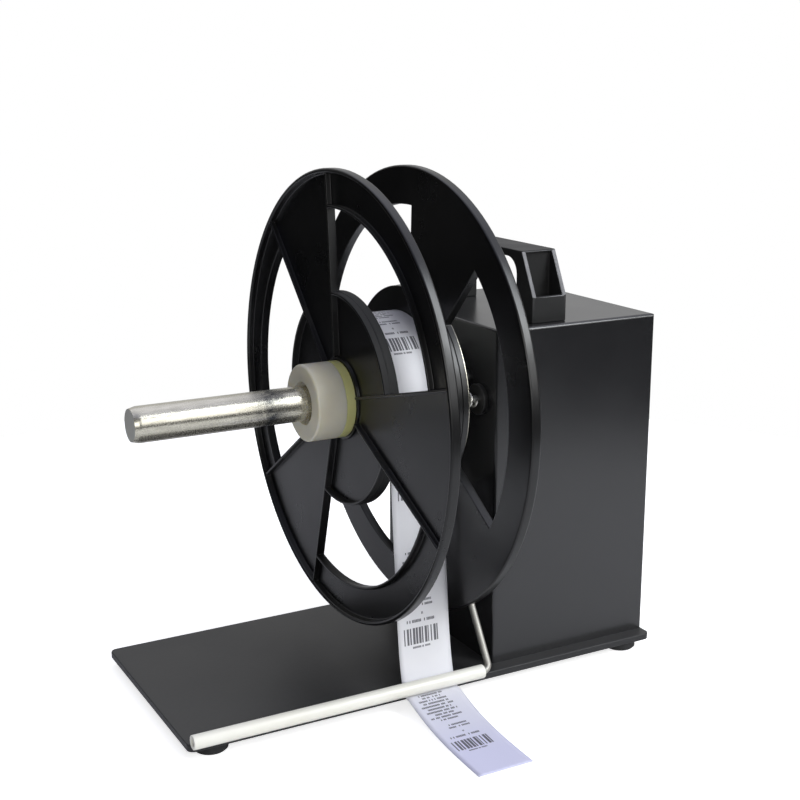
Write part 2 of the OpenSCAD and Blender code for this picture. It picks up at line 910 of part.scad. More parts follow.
// Hexagon nut inside the back wall, by its radius, thickness and hole
module wall_nut(x, r, t, hole_r) {
    difference() {
        translate([x, control_y - wall - t, control_z])
            rotate([-90, 0, 0])
                cylinder(r = r, h = t, $fn = 6);
        bar_y(x, control_y - wall - t - 1, control_y, control_z, hole_r);
    }
}

module inlet_nut() {
    place()
        color("silver")
            wall_nut(inlet_x, inlet_r + 2.6, 2, inlet_r + eps);
}

// Direction switch: a framed body with a pocket, and a rocker on a cross pin axis
switch_lip = 1.8;
switch_depth = 14;
rocker_w = 9;
rocker_h = 15.4;
rocker_hub_r = 3.2;
rocker_rise = 3;
rocker_y = control_y - 1.5;
module switch_body() {
    place()
        color([0.05, 0.05, 0.05])
            difference() {
                union() {
                    translate([switch_x - switch_w / 2 + screw_fit, control_y - wall - switch_depth,
                               control_z - switch_h / 2 + screw_fit])
                        cube([switch_w - 2 * screw_fit, wall + switch_depth, switch_h - 2 * screw_fit]);
                    translate([switch_x - switch_w / 2 - 1.2, control_y, control_z - switch_h / 2 - 1.2])
                        cube([switch_w + 2.4, switch_lip, switch_h + 2.4]);
                }
                translate([switch_x - rocker_w / 2 - pass_gap, rocker_y - 6, control_z - rocker_h / 2 - 0.6])
                    cube([rocker_w + 2 * pass_gap, 20, rocker_h + 1.2]);
                bar_x(switch_x - rocker_w / 2 - 1.2, switch_x + rocker_w / 2 + 1.2, rocker_y, control_z,
                      1 + run_fit);
            }
}

module switch_rocker() {
    place()
        color([0.55, 0.05, 0.05])
            translate([switch_x, rocker_y, control_z]) {
                translate([-rocker_w / 2, 0, 0])
                    rotate([90, 0, 90])
                        linear_extrude(rocker_w) {
                            circle(r = rocker_hub_r);
                            polygon([[-1.5, -rocker_h / 2 + 0.8], [rocker_rise + 1.2, -rocker_h / 2 + 0.4],
                                     [rocker_rise, 0], [rocker_rise + 1.2, rocker_h / 2 - 0.4],
                                     [-1.5, rocker_h / 2 - 0.8]]);
                        }
                translate([-rocker_w / 2 - 1, 0, 0])
                    rotate([0, 90, 0])
                        cylinder(r = 1, h = rocker_w + 2);
            }
}

pot_shaft_r = 3;
pot_bush_l = 7;
pot_r = 8.5;
pot_t = 10;
knob_gap = 0.6;
pot_nut_t = 2;
module speed_pot() {
    place()
        color([0.5, 0.5, 0.52])
            difference() {
                union() {
                    bar_y(knob_x, control_y - wall - pot_t, control_y - wall, control_z, pot_r);
                    bar_y(knob_x, control_y - wall - 1, control_y - wall + pot_bush_l, control_z, pot_bush_r);
                }
                bar_y(knob_x, control_y - wall - pot_t + 2, control_y + pot_bush_l, control_z,
                      pot_shaft_r + run_fit);
            }
}

module pot_nut() {
    place()
        color("silver")
            difference() {
                translate([knob_x, control_y, control_z])
                    rotate([-90, 0, 0])
                        cylinder(r = pot_bush_r + 2.4, h = pot_nut_t, $fn = 6);
                bar_y(knob_x, control_y - 1, control_y + pot_nut_t + 1, control_z, pot_bush_r + eps);
            }
}

pot_bush_end = control_y - wall + pot_bush_l;
knob_y0 = control_y + pot_nut_t + knob_gap;
module pot_shaft() {
    place()
        color("silver")
            bar_y(knob_x, control_y - wall - pot_t + 3, knob_y0 + knob_h - 3, control_z, pot_shaft_r);
}

knob_ribs = 18;
module speed_knob() {
    place()
        color([0.07, 0.07, 0.07])
            translate([knob_x, knob_y0, control_z])
                rotate([-90, 0, 0])
                    difference() {
                        union() {
                            cylinder(r = knob_d / 2, h = 2.5);
                            cylinder(r = knob_d / 2 - 1.2, h = knob_h);
                            for (i = [0 : knob_ribs - 1])
                                rotate(360 * i / knob_ribs)
                                    translate([knob_d / 2 - 1.6, -0.5, 0])
                                        cube([1, 1, knob_h - 1]);
                        }
                        translate([0, 0, -1])
                            cylinder(r = pot_shaft_r + eps, h = knob_h - 2);
                        translate([0, 0, -1])
                            cylinder(r = pot_bush_r + 0.6, h = pot_bush_end - knob_y0 + 1.6);
                        translate([-0.6, -knob_d / 2, knob_h - 0.8])
                            cube([1.2, knob_d / 2 - 2, 2]);
                    }
}

// Free end at full size, relieved from just before the collar to the drive disc, then full size to the socket
module spindle_shaft() {
    seat_x = collar_x0 - seat_lead;
    place()
        color([0.78, 0.79, 0.78])
            difference() {
                union() {
                    on_axis(-spindle_free)
                        cylinder(r1 = spindle_r - taper_in, r2 = spindle_r, h = taper_l);
                    on_axis(taper_l - spindle_free)
                        cylinder(r = spindle_r, h = seat_x + spindle_free - taper_l);
                    on_axis(seat_x)
                        cylinder(r = spindle_r - seat_relief, h = drive_x0 - seat_x);
                    on_axis(drive_x0)
                        cylinder(r = spindle_r, h = spindle_end - drive_x0);
                    on_axis(drive_x0)
                        cylinder(r = drive_r, h = drive_t);
                }
                on_axis(spindle_end - socket_l)
                    cylinder(r = out_shaft_d / 2 + run_fit, h = socket_l + 1);
                flange_screw_circle(drive_x0 - 1, drive_t + 2, m4_r + screw_fit);
                set_screw_pair(out_shaft_d / 2, spindle_r - out_shaft_d / 2 + 1, m3_r + screw_fit);
            }
}

module output_shaft() {
    place()
        color([0.7, 0.7, 0.7])
            on_axis(spindle_end - socket_l + 1)
                cylinder(r = out_shaft_d / 2, h = gearbox_x + gearbox_l - 6 - spindle_end + socket_l);
}

// Two set screws across the spindle's socket, one turned a quarter from the other
set_screw_in = 7;
module set_screw_pair(r0, length, r) {
    for (i = [0, 1])
        on_axis(spindle_end - set_screw_in, 90 * i)
            translate([r0, 0, 0])
                rotate([0, 90, 0])
                    cylinder(r = r, h = length);
}

module shaft_set_screws() {
    place()
        color([0.2, 0.2, 0.2])
            set_screw_pair(out_shaft_d / 2 + run_fit, spindle_r - out_shaft_d / 2 - 1, m3_r);
}

flange_screw_r = 28;
module flange_screw_circle(x0, length, r) {
    for (i = [0 : 2])
        on_axis(x0, rear_turn + 120 * i)
            translate([flange_screw_r, 0, 0])
                cylinder(r = r, h = length);
}

module ring_2d(r_out, r_in) {
    difference() {
        circle(r = r_out);
        circle(r = r_in);
    }
}

// One reel flange, outer face at Z = 0, inner face up, first spoke along X
module flange_body() {
    half = spoke_angle / 2;
    panel = web_recess + ring_step;
    panel_end = ring_in_r + 3;
    panel_side = panel_end * tan(half) - rib_w / 2 / cos(half);
    bare_r = boss_d / 2 + pass_gap;
    rib_lap = half - 0.4;
    hub_rib_r = hub_r - 0.3;
    soft = 0.8;
    difference() {
        union() {
            rotate_extrude()
                polygon([[ring_in_r + rib_w / 2, panel], [flange_r - lip_w, panel], [flange_r - lip_w + 0.4, soft],
                         [flange_r - lip_w + soft + 0.4, 0], [flange_r - soft, 0], [flange_r, soft],
                         [flange_r, flange_t - soft], [flange_r - soft, flange_t],
                         [ring_in_r + rib_w / 2, flange_t]]);
            translate([0, 0, panel])
                linear_extrude(flange_t - panel)
                    difference() {
                        for (i = [0 : 2])
                            rotate(120 * i)
                                polygon([[rib_w / 2 / sin(half), 0], [panel_end, -panel_side], [panel_end, panel_side]]);
                        circle(r = bare_r);
                    }
            translate([0, 0, web_recess])
                linear_extrude(flange_t - web_recess)
                    difference() {
                        difference() {
                            union() {
                                ring_2d(ring_in_r + rib_w, ring_in_r);
                                ring_2d(hub_rib_r, hub_rib_r - rib_w);
                            }
                            for (i = [0 : 2])
                                rotate(120 * i)
                                    polygon([[0, 0], [flange_r, -flange_r * tan(rib_lap)], [flange_r, flange_r * tan(rib_lap)]]);
                        }
                        circle(r = bare_r + 0.5);
                    }
            translate([0, 0, web_recess])
                linear_extrude(flange_t - web_recess)
                    difference() {
                        intersection() {
                            circle(r = flange_r - lip_w + 0.6);
                            for (i = [0 : 2], s = [-1, 1])
                                rotate(120 * i)
                                    rotate(s * half)
                                        translate([0, s > 0 ? -rib_w : 0])
                                            square([flange_r, rib_w]);
                        }
                        circle(r = bare_r + 0.5);
                    }
            translate([0, 0, hub_step])
                cylinder(r = hub_r, h = hub_t);
            translate([0, 0, boss_front])
                cylinder(r = boss_d / 2, h = hub_back - boss_front);
        }
        translate([0, 0, -1])
            cylinder(r = spindle_r + run_fit, h = hub_back + 2);
    }
}

module front_flange() {
    place()
        color([0.07, 0.07, 0.08])
            on_axis(0, front_turn)
                flange_body();
}

flange_head_in = 2.8;
module rear_flange() {
    place()
        color([0.07, 0.07, 0.08])
            difference() {
                translate([flange_span, 0, axis_z])
                    rotate([0, -90, 0])
                        rotate(90 - rear_turn)
                            flange_body();
                flange_screw_circle(0, flange_span, m4_r + screw_fit);
                flange_screw_circle(0, flange_span - hub_back + flange_head_in, m4_head_r + 0.2);
            }
}

module flange_screws() {
    place()
        color("silver") {
            flange_screw_circle(flange_span - hub_back + 0.4, m4_head_t, m4_head_r);
            flange_screw_circle(flange_span - hub_back + 0.4, hub_back - 0.4 + drive_t - web_recess, m4_r);
        }
}

adapter_end_gap = 0.2;
module core_adapter() {
    lighten_r = (core_r + spindle_r) / 2;
    place()
        color([0.12, 0.12, 0.13])
            difference() {
                on_axis(hub_back + adapter_end_gap)
                    tube(core_r - run_fit, spindle_r + run_fit, reel_gap - 2 * adapter_end_gap);
                for (i = [0 : 5])
                    on_axis(hub_back, rear_turn + 30 + 60 * i)
                        translate([lighten_r, 0, -1])
                            cylinder(r = (core_r - spindle_r) / 2 - 6, h = reel_gap + 2);
            }
}

module paper_core() {
    place()
        color([0.72, 0.58, 0.42])
            on_axis(label_x)
                tube(core_r + core_wall, core_r, label_w);
}

// Wound tape: the last turn climbs by one tape thickness, up to the point where the strip leaves
roll_steps = 120;
module label_roll() {
    place()
        color([0.93, 0.93, 0.94])
            on_axis(label_x, 180)
                linear_extrude(label_w)
                    difference() {
                        polygon([for (i = [0 : roll_steps])
                            let (a = 360 * i / roll_steps, r = roll_r - label_t * (1 - i / roll_steps))
                            r * [cos(a), sin(a)]]);
                        circle(r = core_r + core_wall + run_fit);
                    }
}

// Path of the free tape in the Y, Z plane: down from the roll, under the sleeve, out along the floor
tape_gap = pass_gap + label_t / 2;
tape_top = [-roll_r - tape_gap, axis_z];
wrap_r = sleeve_r + 0.35 + label_t / 2;
wrap_back = [sleeve_y + wrap_r, sleeve_z];
wrap_low = [sleeve_y, sleeve_z - wrap_r];
hang_out = 1;
hang_rise = 42;
hang_bow = [-roll_r - tape_gap - hang_out, base_top + hang_rise];
tail_end = [-label_reach, label_t / 2 + pass_gap];
tail_run = 16;
tail_turn_down = 20;
tail_lead = [sleeve_y - tail_run, wrap_low[1] - 1.5];
tail_drop = [sleeve_y - tail_turn_down, -0.6];
hang_steps = 6;
wrap_steps = 3;
tail_steps = 10;
function bend2(a, b, c, t) = (1 - t) * (1 - t) * a + 2 * t * (1 - t) * b + t * t * c;
function bend3(a, b, c, d, t) =
    pow(1 - t, 3) * a + 3 * t * pow(1 - t, 2) * b + 3 * t * t * (1 - t) * c + pow(t, 3) * d;
tape_path = concat(
    [for (i = [0 : hang_steps]) bend2(tape_top, hang_bow, wrap_back, i / hang_steps)],
    [for (i = [1 : wrap_steps])
        let (a = -90 * i / wrap_steps)
        [sleeve_y, sleeve_z] + wrap_r * [cos(a), sin(a)]],
    [for (i = [1 : tail_steps]) bend3(wrap_low, tail_lead, tail_drop, tail_end, i / tail_steps)]);

// Sideways drift of the tape at a path point: none between the flanges, then steadily to the free end
drift_z = axis_z - hub_r - 10;
function drift(p) =
    let (hang = (drift_z - max(p[1], wrap_low[1])) / (drift_z - wrap_low[1]),
         tail = (sleeve_y - p[0]) / (sleeve_y + label_reach))
    drift_hang * max(0, hang) + drift_tail * max(0, tail);
tape_last = len(tape_path) - 1;
function tape_side(i) =
    let (run = tape_path[min(i + 1, tape_last)] - tape_path[max(i - 1, 0)])
    label_t / 2 * [-run[1], run[0]] / norm(run);
function tape_ring(i) =
    let (p = tape_path[i], n = tape_side(i), x = label_mid - drift(p), h = label_w / 2)
    [[x - h, p[0] - n[0], p[1] - n[1]], [x + h, p[0] - n[0], p[1] - n[1]],
     [x + h, p[0] + n[0], p[1] + n[1]], [x - h, p[0] + n[0], p[1] + n[1]]];

module label_strip() {
    place()
        color([0.94, 0.94, 0.95])
            polyhedron([for (i = [0 : tape_last]) each tape_ring(i)], tube_faces(tape_last + 1, 4));
}

grip_x0 = boss_front - 0.1 - grip_l;
collar_x0 = grip_x0 - collar_l;
module lock_collar() {
    place()
        color([0.90, 0.90, 0.84])
            on_axis(collar_x0)
                rotate_extrude()
                    polygon([[spindle_r + mouth_step, 0], [collar_r - 0.8, 0], [collar_r, 0.8],
                             [collar_r, collar_l], [spindle_r + run_fit, collar_l],
                             [spindle_r + run_fit, mouth_depth], [spindle_r + mouth_step, mouth_depth]]);
}

module grip_ring() {
    place()
        color([0.80, 0.80, 0.50])
            on_axis(grip_x0)
                tube(collar_r, spindle_r + run_fit, grip_l);
}

// Ring on the bearing nose with a boss for the rod and a tail for the trip pin
rod_boss_w = 10;
boss_step = 0.2;
rod_boss_in = sqrt(pow(nose_r + 0.5, 2) - pow(arm_offset - rod_boss_w / 2, 2));
rod_boss_end = arm_hub_d / 2 + 8;
tail_w = 8;
tail_x0 = hub_x1 - 4;
module arm_hub() {
    place()
        color([0.12, 0.12, 0.13])
            difference() {
                union() {
                    on_axis(hub_x0)
                        cylinder(r = arm_hub_d / 2, h = arm_hub_t);
                    on_axis(hub_x0, arm_turn)
                        translate([rod_boss_in, arm_offset - rod_boss_w / 2, boss_step])
                            cube([rod_boss_end - rod_boss_in, rod_boss_w, arm_hub_t - 2 * boss_step]);
                    on_axis(tail_x0, tail_turn)
                        translate([0, -tail_w / 2, 0])
                            cube([trip_r + 4, tail_w, hub_x1 - tail_x0 - boss_step]);
                }
                on_axis(hub_x0 - 1)
                    cylinder(r = nose_r + run_fit, h = arm_hub_t + 2);
                on_axis(arm_x, arm_turn)
                    translate([rod_in - eps, arm_offset, 0])
                        rotate([0, 90, 0])
                            cylinder(r = rod_r + eps, h = arm_hub_d);
                on_axis(tail_x0 - 1, tail_turn)
                    translate([trip_r, 0, 0])
                        cylinder(r = trip_pin_r + eps, h = arm_hub_t);
                arm_set_screw_bar(m3_r + eps, 0, rod_boss_w);
            }
}

// Straight bar across the rod boss, from distance d0 beside the rod's axis
module arm_set_screw_bar(r, d0, length) {
    on_axis(arm_x, arm_turn)
        translate([arm_hub_d / 2 + 3, arm_offset + d0, 0])
            rotate([-90, 0, 0])
                cylinder(r = r, h = length);
}

module arm_set_screw() {
    place()
        color([0.2, 0.2, 0.2])
            arm_set_screw_bar(m3_r, rod_r + run_fit, rod_boss_w / 2 - rod_r - 0.4);
}

rod_end = sleeve_x0 + sleeve_open;
module arm_rod() {
    place()
        color([0.72, 0.72, 0.70])
            on_axis(arm_x, arm_turn) {
                translate([rod_in, arm_offset, 0])
                    rotate([0, 90, 0])
                        cylinder(r = rod_r, h = arm_reach - rod_bend - rod_in);
                translate([arm_reach - rod_bend, arm_offset, -rod_bend])
                    rotate([90, 0, 0])
                        rotate_extrude(angle = 90)
                            translate([rod_bend, 0])
                                circle(r = rod_r);
                translate([arm_reach, arm_offset, rod_end - arm_x])
                    cylinder(r = rod_r, h = arm_x - rod_end - rod_bend);
            }
}

module trip_pin() {
    place()
        color("silver")
            on_axis(tail_x0, tail_turn)
                translate([trip_r, 0, 0])
                    cylinder(r = trip_pin_r, h = trip_end - tail_x0);
}

module guide_sleeve() {
    place()
        color([0.93, 0.92, 0.86])
            difference() {
                bar_x(sleeve_x0, sleeve_x1, sleeve_y, sleeve_z, sleeve_r);
                bar_x(sleeve_x0 - 1, sleeve_x1 + 1, sleeve_y, sleeve_z, rod_r + run_fit);
            }
}

base_plate();
rubber_feet();
foot_screws();
housing_shell();
housing_screws();
carry_handle();
handle_screws();
bearing_housing();
spindle_bearings();
bearing_spacer();
bearing_screws();
motor_pillars();
motor_plate();
gearbox();
gearbox_screws();
motor_can();
arm_spacer();
arm_clip();
stop_post();
stop_spring();
stop_washer();
stop_nut();
arm_switch();
arm_switch_screws();
control_board();
board_parts();
board_standoffs();
board_screws();
power_inlet();
inlet_nut();
switch_body();
switch_rocker();
speed_pot();
pot_nut();
pot_shaft();
speed_knob();
spindle_shaft();
output_shaft();
shaft_set_screws();
rear_flange();
flange_screws();
core_adapter();
paper_core();
label_roll();
label_strip();
front_flange();
lock_collar();
grip_ring();
arm_hub();
arm_rod();
arm_set_screw();
trip_pin();
guide_sleeve();
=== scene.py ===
# %% [markdown]
# A bench label rewinder: a motor box on a base plate turns a plated spindle. Two spoked reel flanges
# hold a roll of label tape, a nylon collar locks the front flange, and a swinging arm with a white
# sleeve guides the free tape. The solids come packed from CAD. This lesson dresses them: soft edges, a
# coil spring, screw heads, printed tape and finishes.

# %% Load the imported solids
import json
import math

import bmesh
import bpy
from mathutils import Matrix, Vector


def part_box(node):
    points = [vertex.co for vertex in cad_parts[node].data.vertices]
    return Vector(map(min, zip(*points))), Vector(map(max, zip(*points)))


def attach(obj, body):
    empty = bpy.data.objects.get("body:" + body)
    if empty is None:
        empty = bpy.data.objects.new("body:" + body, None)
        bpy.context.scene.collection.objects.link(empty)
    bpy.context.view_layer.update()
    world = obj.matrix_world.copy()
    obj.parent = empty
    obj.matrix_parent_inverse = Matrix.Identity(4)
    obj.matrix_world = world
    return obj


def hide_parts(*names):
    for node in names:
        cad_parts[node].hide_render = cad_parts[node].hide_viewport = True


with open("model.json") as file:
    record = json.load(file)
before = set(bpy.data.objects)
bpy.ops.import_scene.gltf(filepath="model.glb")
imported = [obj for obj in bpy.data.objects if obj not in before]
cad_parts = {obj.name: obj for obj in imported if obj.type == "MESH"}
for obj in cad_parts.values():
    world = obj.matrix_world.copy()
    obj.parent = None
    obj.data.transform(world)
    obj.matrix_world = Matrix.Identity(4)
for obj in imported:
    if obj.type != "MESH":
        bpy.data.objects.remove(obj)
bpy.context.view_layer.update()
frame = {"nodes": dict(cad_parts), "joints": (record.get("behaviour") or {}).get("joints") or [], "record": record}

NODES = frame["nodes"]

# %% [markdown]
# Sizes are read from the solids, so that every piece made here follows them. The spindle axis is the
# line that most pieces share: it comes from the spindle's joint. Angles in the reel's plane run from the
# back (+Y) up to the top.

# %% Lines and places that the pieces share
JOINT = {joint["name"]: joint for joint in frame["joints"]}
AXIS = Vector(JOINT["spindle_spin"]["pos_m"])
SLEEVE = Vector(JOINT["sleeve_spin"]["pos_m"])
ROLL_LOW, ROLL_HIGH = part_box("label_roll")


def on_reel(x, radius, degrees):
    """A point at a station along the spindle, a distance from its axis and an angle in the reel's plane."""
    angle = math.radians(degrees)
    return Vector((x, AXIS.y + radius * math.cos(angle), AXIS.z + radius * math.sin(angle)))


def radius_of(name):
    """The radius of a round solid that lies along the spindle."""
    low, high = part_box(name)
    return (high.z - low.z) / 2


def put(name, data):
    """Adds an object to the scene."""
    obj = bpy.data.objects.new(name, data)
    bpy.context.scene.collection.objects.link(obj)
    return obj


print("axis at", [round(v, 4) for v in AXIS], "sleeve at", [round(v, 4) for v in SLEEVE])

# %% [markdown]
# The camera stands where the photograph was taken from. Its place and lens were worked out by fitting
# the flange rims, the box's corners and the base plate's edges, so the render and the photograph can be
# laid over each other.

# %% Camera
CAMERA_BACK = Vector((-0.4671, -0.8503, 0.2423))
camera_data = bpy.data.cameras.new("camera")
camera_data.sensor_width = 36.0
camera_data.lens = 61.1
camera_data.clip_start, camera_data.clip_end = 0.01, 50.0
camera = put("camera", camera_data)
camera.location = (-0.3575, -0.6629, 0.3490)
camera.rotation_mode = "QUATERNION"
camera.rotation_quaternion = (-CAMERA_BACK).to_track_quat("-Z", "Y")
bpy.context.scene.camera = camera
print("lens", camera_data.lens)

# %% [markdown]
# Black paint and black plastic show almost nothing of their own colour: what one sees is the studio in
# them. So the light is built first. A wide, bluish soft box hangs overhead, two large ones fill the
# front, and a small one on the right draws the rims.


# %% Soft boxes
def soft_box(name, place, aim, width, height, power, tint=(1, 1, 1)):
    light = bpy.data.lights.new(name, "AREA")
    light.shape = "RECTANGLE"
    light.size, light.size_y = width, height
    light.energy = power
    light.color = tint
    lamp = put(name, light)
    lamp.location = place
    lamp.rotation_mode = "QUATERNION"
    lamp.rotation_quaternion = (Vector(aim) - Vector(place)).to_track_quat("-Z", "Y")


soft_box("overhead", (0.1, 0.1, 1.5), (0, 0, 0.0), 2.2, 2.0, 8, (0.72, 0.75, 1.0))
soft_box("fill_right", (0.9, -1.65, 0.95), (0, 0, 0.12), 1.4, 1.2, 13)
soft_box("fill_left", (-0.8, -1.70, 0.75), (0, 0, 0.12), 1.2, 1.0, 11)
soft_box("front_right", (0.71, -0.90, 1.13), (0, -0.1, 0.23), 0.5, 0.85, 12, (0.93, 0.97, 1.0))

# %% [markdown]
# The table, the room and every finish are wired from nodes, so two helpers come first. Each adds a node
# and fills its sockets, with a link where it is given another node's socket and with a plain value
# otherwise.


# %% Helpers for node trees
def node(tree, kind, inputs=None, **settings):
    made = tree.nodes.new(kind)
    for key, value in settings.items():
        setattr(made, key, value)
    for key, value in (inputs or {}).items():
        if isinstance(value, bpy.types.NodeSocket):
            tree.links.new(value, made.inputs[key])
        else:
            made.inputs[key].default_value = value
    return made


def math_node(tree, operation, *values, clamp=False):
    made = node(tree, "ShaderNodeMath", dict(enumerate(values)), operation=operation, use_clamp=clamp)
    return made.outputs[0]


print("helpers for nodes ready")

# %% [markdown]
# The object stands on a small white table top, and white is all that the camera sees round it. The table
# glows a little for the camera alone, which keeps it white and leaves only narrow shadows near the feet.
# A brighter lamp would do the same, but it would wash out the black paint.

# %% White table
TABLE_R, TABLE_Z = 0.62, -0.0002
TABLE_GLOW = 0.72

disc = bmesh.new()
bmesh.ops.create_circle(disc, cap_ends=True, radius=TABLE_R, segments=128)
table_mesh = bpy.data.meshes.new("table")
disc.to_mesh(table_mesh)
disc.free()
table = put("table", table_mesh)
table.location.z = TABLE_Z

table_white = bpy.data.materials.new("table_white")
table_white.use_nodes = True
table_tree = table_white.node_tree
table_tree.nodes.clear()
rays = node(table_tree, "ShaderNodeLightPath")
glow_level = math_node(table_tree, "MULTIPLY", rays.outputs["Is Camera Ray"], TABLE_GLOW)
glow = node(table_tree, "ShaderNodeEmission", {"Strength": glow_level})
top = node(table_tree, "ShaderNodeBsdfDiffuse", {"Color": (0.9, 0.9, 0.9, 1)})
both = node(table_tree, "ShaderNodeAddShader", {0: top.outputs[0], 1: glow.outputs[0]})
node(table_tree, "ShaderNodeOutputMaterial", {"Surface": both.outputs[0]})
table_mesh.materials.append(table_white)
print("table", TABLE_R * 2, "m across")

# %% [markdown]
# In the reflections the room is another one: bright behind on the right and overhead, dim to the left
# and in front. A ramp along one slanting direction gives that with no picture of a room. The camera
# itself sees plain white.

# %% Room in the reflections
BRIGHT_SIDE = (0.55, 0.60, 0.58)
ROOM_RAMP = ((0.34, (0.015, 0.015, 0.016, 1)), (0.84, (1.0, 1.0, 1.0, 1)))
ROOM_LIGHT = 0.64

world = bpy.data.worlds.new("studio")
bpy.context.scene.world = world
world.use_nodes = True
room = world.node_tree
room.nodes.clear()
ways = node(room, "ShaderNodeTexCoord")
side = node(room, "ShaderNodeVectorMath", {0: ways.outputs["Generated"], 1: BRIGHT_SIDE},
            operation="DOT_PRODUCT")
ramp = node(room, "ShaderNodeValToRGB", {"Fac": side.outputs["Value"]})
for element, (position, colour) in zip(ramp.color_ramp.elements, ROOM_RAMP):
    element.position = position
    element.color = colour
dim_room = node(room, "ShaderNodeBackground", {"Color": ramp.outputs["Color"], "Strength": ROOM_LIGHT})
white_room = node(room, "ShaderNodeBackground", {"Color": (1.0, 1.0, 1.0, 1)})
rays = node(room, "ShaderNodeLightPath")
either = node(room, "ShaderNodeMixShader", {0: rays.outputs["Is Camera Ray"], 1: dim_room.outputs[0],
                                            2: white_room.outputs[0]})
node(room, "ShaderNodeOutputWorld", {"Surface": either.outputs[0]})
bpy.context.scene.view_settings.view_transform = "Standard"
print("room light", ROOM_LIGHT)

# %% [markdown]
# Finishes come next. Three effects turn up on many surfaces, so each is a shader node group: a fine
# grain with slow clouds, for paint and moulded skins; streaks along one direction, for drawn and plated
# metal; and dust that settles on faces that look up. A group gives out masks only. Each material keeps
# its own shader.


# %% Grain and clouds
def group_tree(name, inputs, outputs):
    tree = bpy.data.node_groups.new(name, "ShaderNodeTree")
    tree.interface.new_socket("Vector", in_out="INPUT", socket_type="NodeSocketVector")
    for label, value in inputs.items():
        socket = tree.interface.new_socket(label, in_out="INPUT", socket_type="NodeSocketFloat")
        socket.default_value = value
    for label in outputs:
        tree.interface.new_socket(label, in_out="OUTPUT", socket_type="NodeSocketFloat")
    return tree, tree.nodes.new("NodeGroupInput").outputs, tree.nodes.new("NodeGroupOutput").inputs


GRAIN, given, wanted = group_tree("grain_and_clouds", {"Grain per metre": 2500.0, "Clouds per metre": 30.0},
                                  ("Grain", "Clouds"))
fine = node(GRAIN, "ShaderNodeTexNoise", {"Vector": given["Vector"], "Scale": given["Grain per metre"],
                                          "Detail": 2.0})
broad = node(GRAIN, "ShaderNodeTexNoise", {"Vector": given["Vector"], "Scale": given["Clouds per metre"],
                                           "Detail": 4.0, "Roughness": 0.6})
GRAIN.links.new(fine.outputs["Fac"], wanted["Grain"])
GRAIN.links.new(broad.outputs["Fac"], wanted["Clouds"])
print("group", GRAIN.name)


# %% Streaks along one direction
def parts(tree, vector):
    """The X, Y and Z of a vector."""
    return node(tree, "ShaderNodeSeparateXYZ", {0: vector}).outputs


STREAKS, given, wanted = group_tree("streaks", {"Along": 12.0, "Across": 900.0}, ("Streaks", "Blotches"))
place = parts(STREAKS, given["Vector"])
stretched = node(STREAKS, "ShaderNodeCombineXYZ",
                 {axis: math_node(STREAKS, "MULTIPLY", place[axis], given[rate])
                  for axis, rate in (("X", "Along"), ("Y", "Across"), ("Z", "Across"))})
drawn = node(STREAKS, "ShaderNodeTexNoise", {"Vector": stretched.outputs[0], "Scale": 1.0, "Detail": 3.0})
blotch = node(STREAKS, "ShaderNodeTexNoise", {"Vector": given["Vector"], "Scale": 60.0, "Detail": 6.0,
                                              "Roughness": 0.7})
STREAKS.links.new(drawn.outputs["Fac"], wanted["Streaks"])
STREAKS.links.new(blotch.outputs["Fac"], wanted["Blotches"])
print("group", STREAKS.name)


# %% Dust on faces that look up
def facing(tree, normal="Normal"):
    """The X, Y and Z of the direction that the surface looks in."""
    return parts(tree, node(tree, "ShaderNodeNewGeometry").outputs[normal])


DUST, given, wanted = group_tree("settled_dust", {"Amount": 0.1}, ("Dust",))
specks = node(DUST, "ShaderNodeTexNoise", {"Vector": given["Vector"], "Scale": 420.0, "Detail": 5.0,
                                           "Roughness": 0.75})
upward = math_node(DUST, "MAXIMUM", facing(DUST)["Z"], 0.0)
level = math_node(DUST, "MULTIPLY", upward, specks.outputs["Fac"])
DUST.links.new(math_node(DUST, "MULTIPLY", level, given["Amount"], clamp=True), wanted["Dust"])
print("group", DUST.name)

# %% [markdown]
# A material is one Principled shader with its plain numbers set on its own sockets. What changes over
# the surface comes from the groups: the colour is mixed a little by clouds and dust, the roughness
# follows the clouds, and the grain feeds a bump. The helpers below make those links.


# %% Helpers for materials
def blank_material(name, colour, roughness, metallic=0.0, specular=0.5, coat=0.0, coat_rough=0.1):
    material = bpy.data.materials.new(name)
    material.use_nodes = True
    material.diffuse_color = (*colour, 1)
    tree = material.node_tree
    shader = tree.nodes["Principled BSDF"]
    for label, value in (("Base Color", (*colour, 1)), ("Roughness", roughness), ("Metallic", metallic),
                         ("Specular IOR Level", specular), ("Coat Weight", coat),
                         ("Coat Roughness", coat_rough)):
        shader.inputs[label].default_value = value
    return material, tree, shader


def object_place(tree):
    return node(tree, "ShaderNodeTexCoord").outputs["Object"]


def use_group(tree, group, values):
    return node(tree, "ShaderNodeGroup", {"Vector": object_place(tree), **values}, node_tree=group).outputs


def grain_on(tree, grain, clouds):
    return use_group(tree, GRAIN, {"Grain per metre": grain, "Clouds per metre": clouds})


def mix_colour(tree, factor, first, second):
    """Mixes two colours. A Mix node has its colours in sockets 6 and 7, and puts the mix out at 2."""
    ends = [end if isinstance(end, bpy.types.NodeSocket) else (*end, 1) for end in (first, second)]
    return node(tree, "ShaderNodeMix", {0: factor, 6: ends[0], 7: ends[1]}, data_type="RGBA").outputs[2]


def spread(tree, value, low, high):
    """Turns a mask around one half into a number between low and high."""
    return node(tree, "ShaderNodeMapRange", {"Value": value, "From Min": 0.3, "From Max": 0.7,
                                             "To Min": low, "To Max": high}).outputs["Result"]


def bump(tree, shader, height, strength, distance):
    made = node(tree, "ShaderNodeBump", {"Strength": strength, "Distance": distance, "Height": height})
    tree.links.new(made.outputs["Normal"], shader.inputs["Normal"])


print("helpers for materials ready")

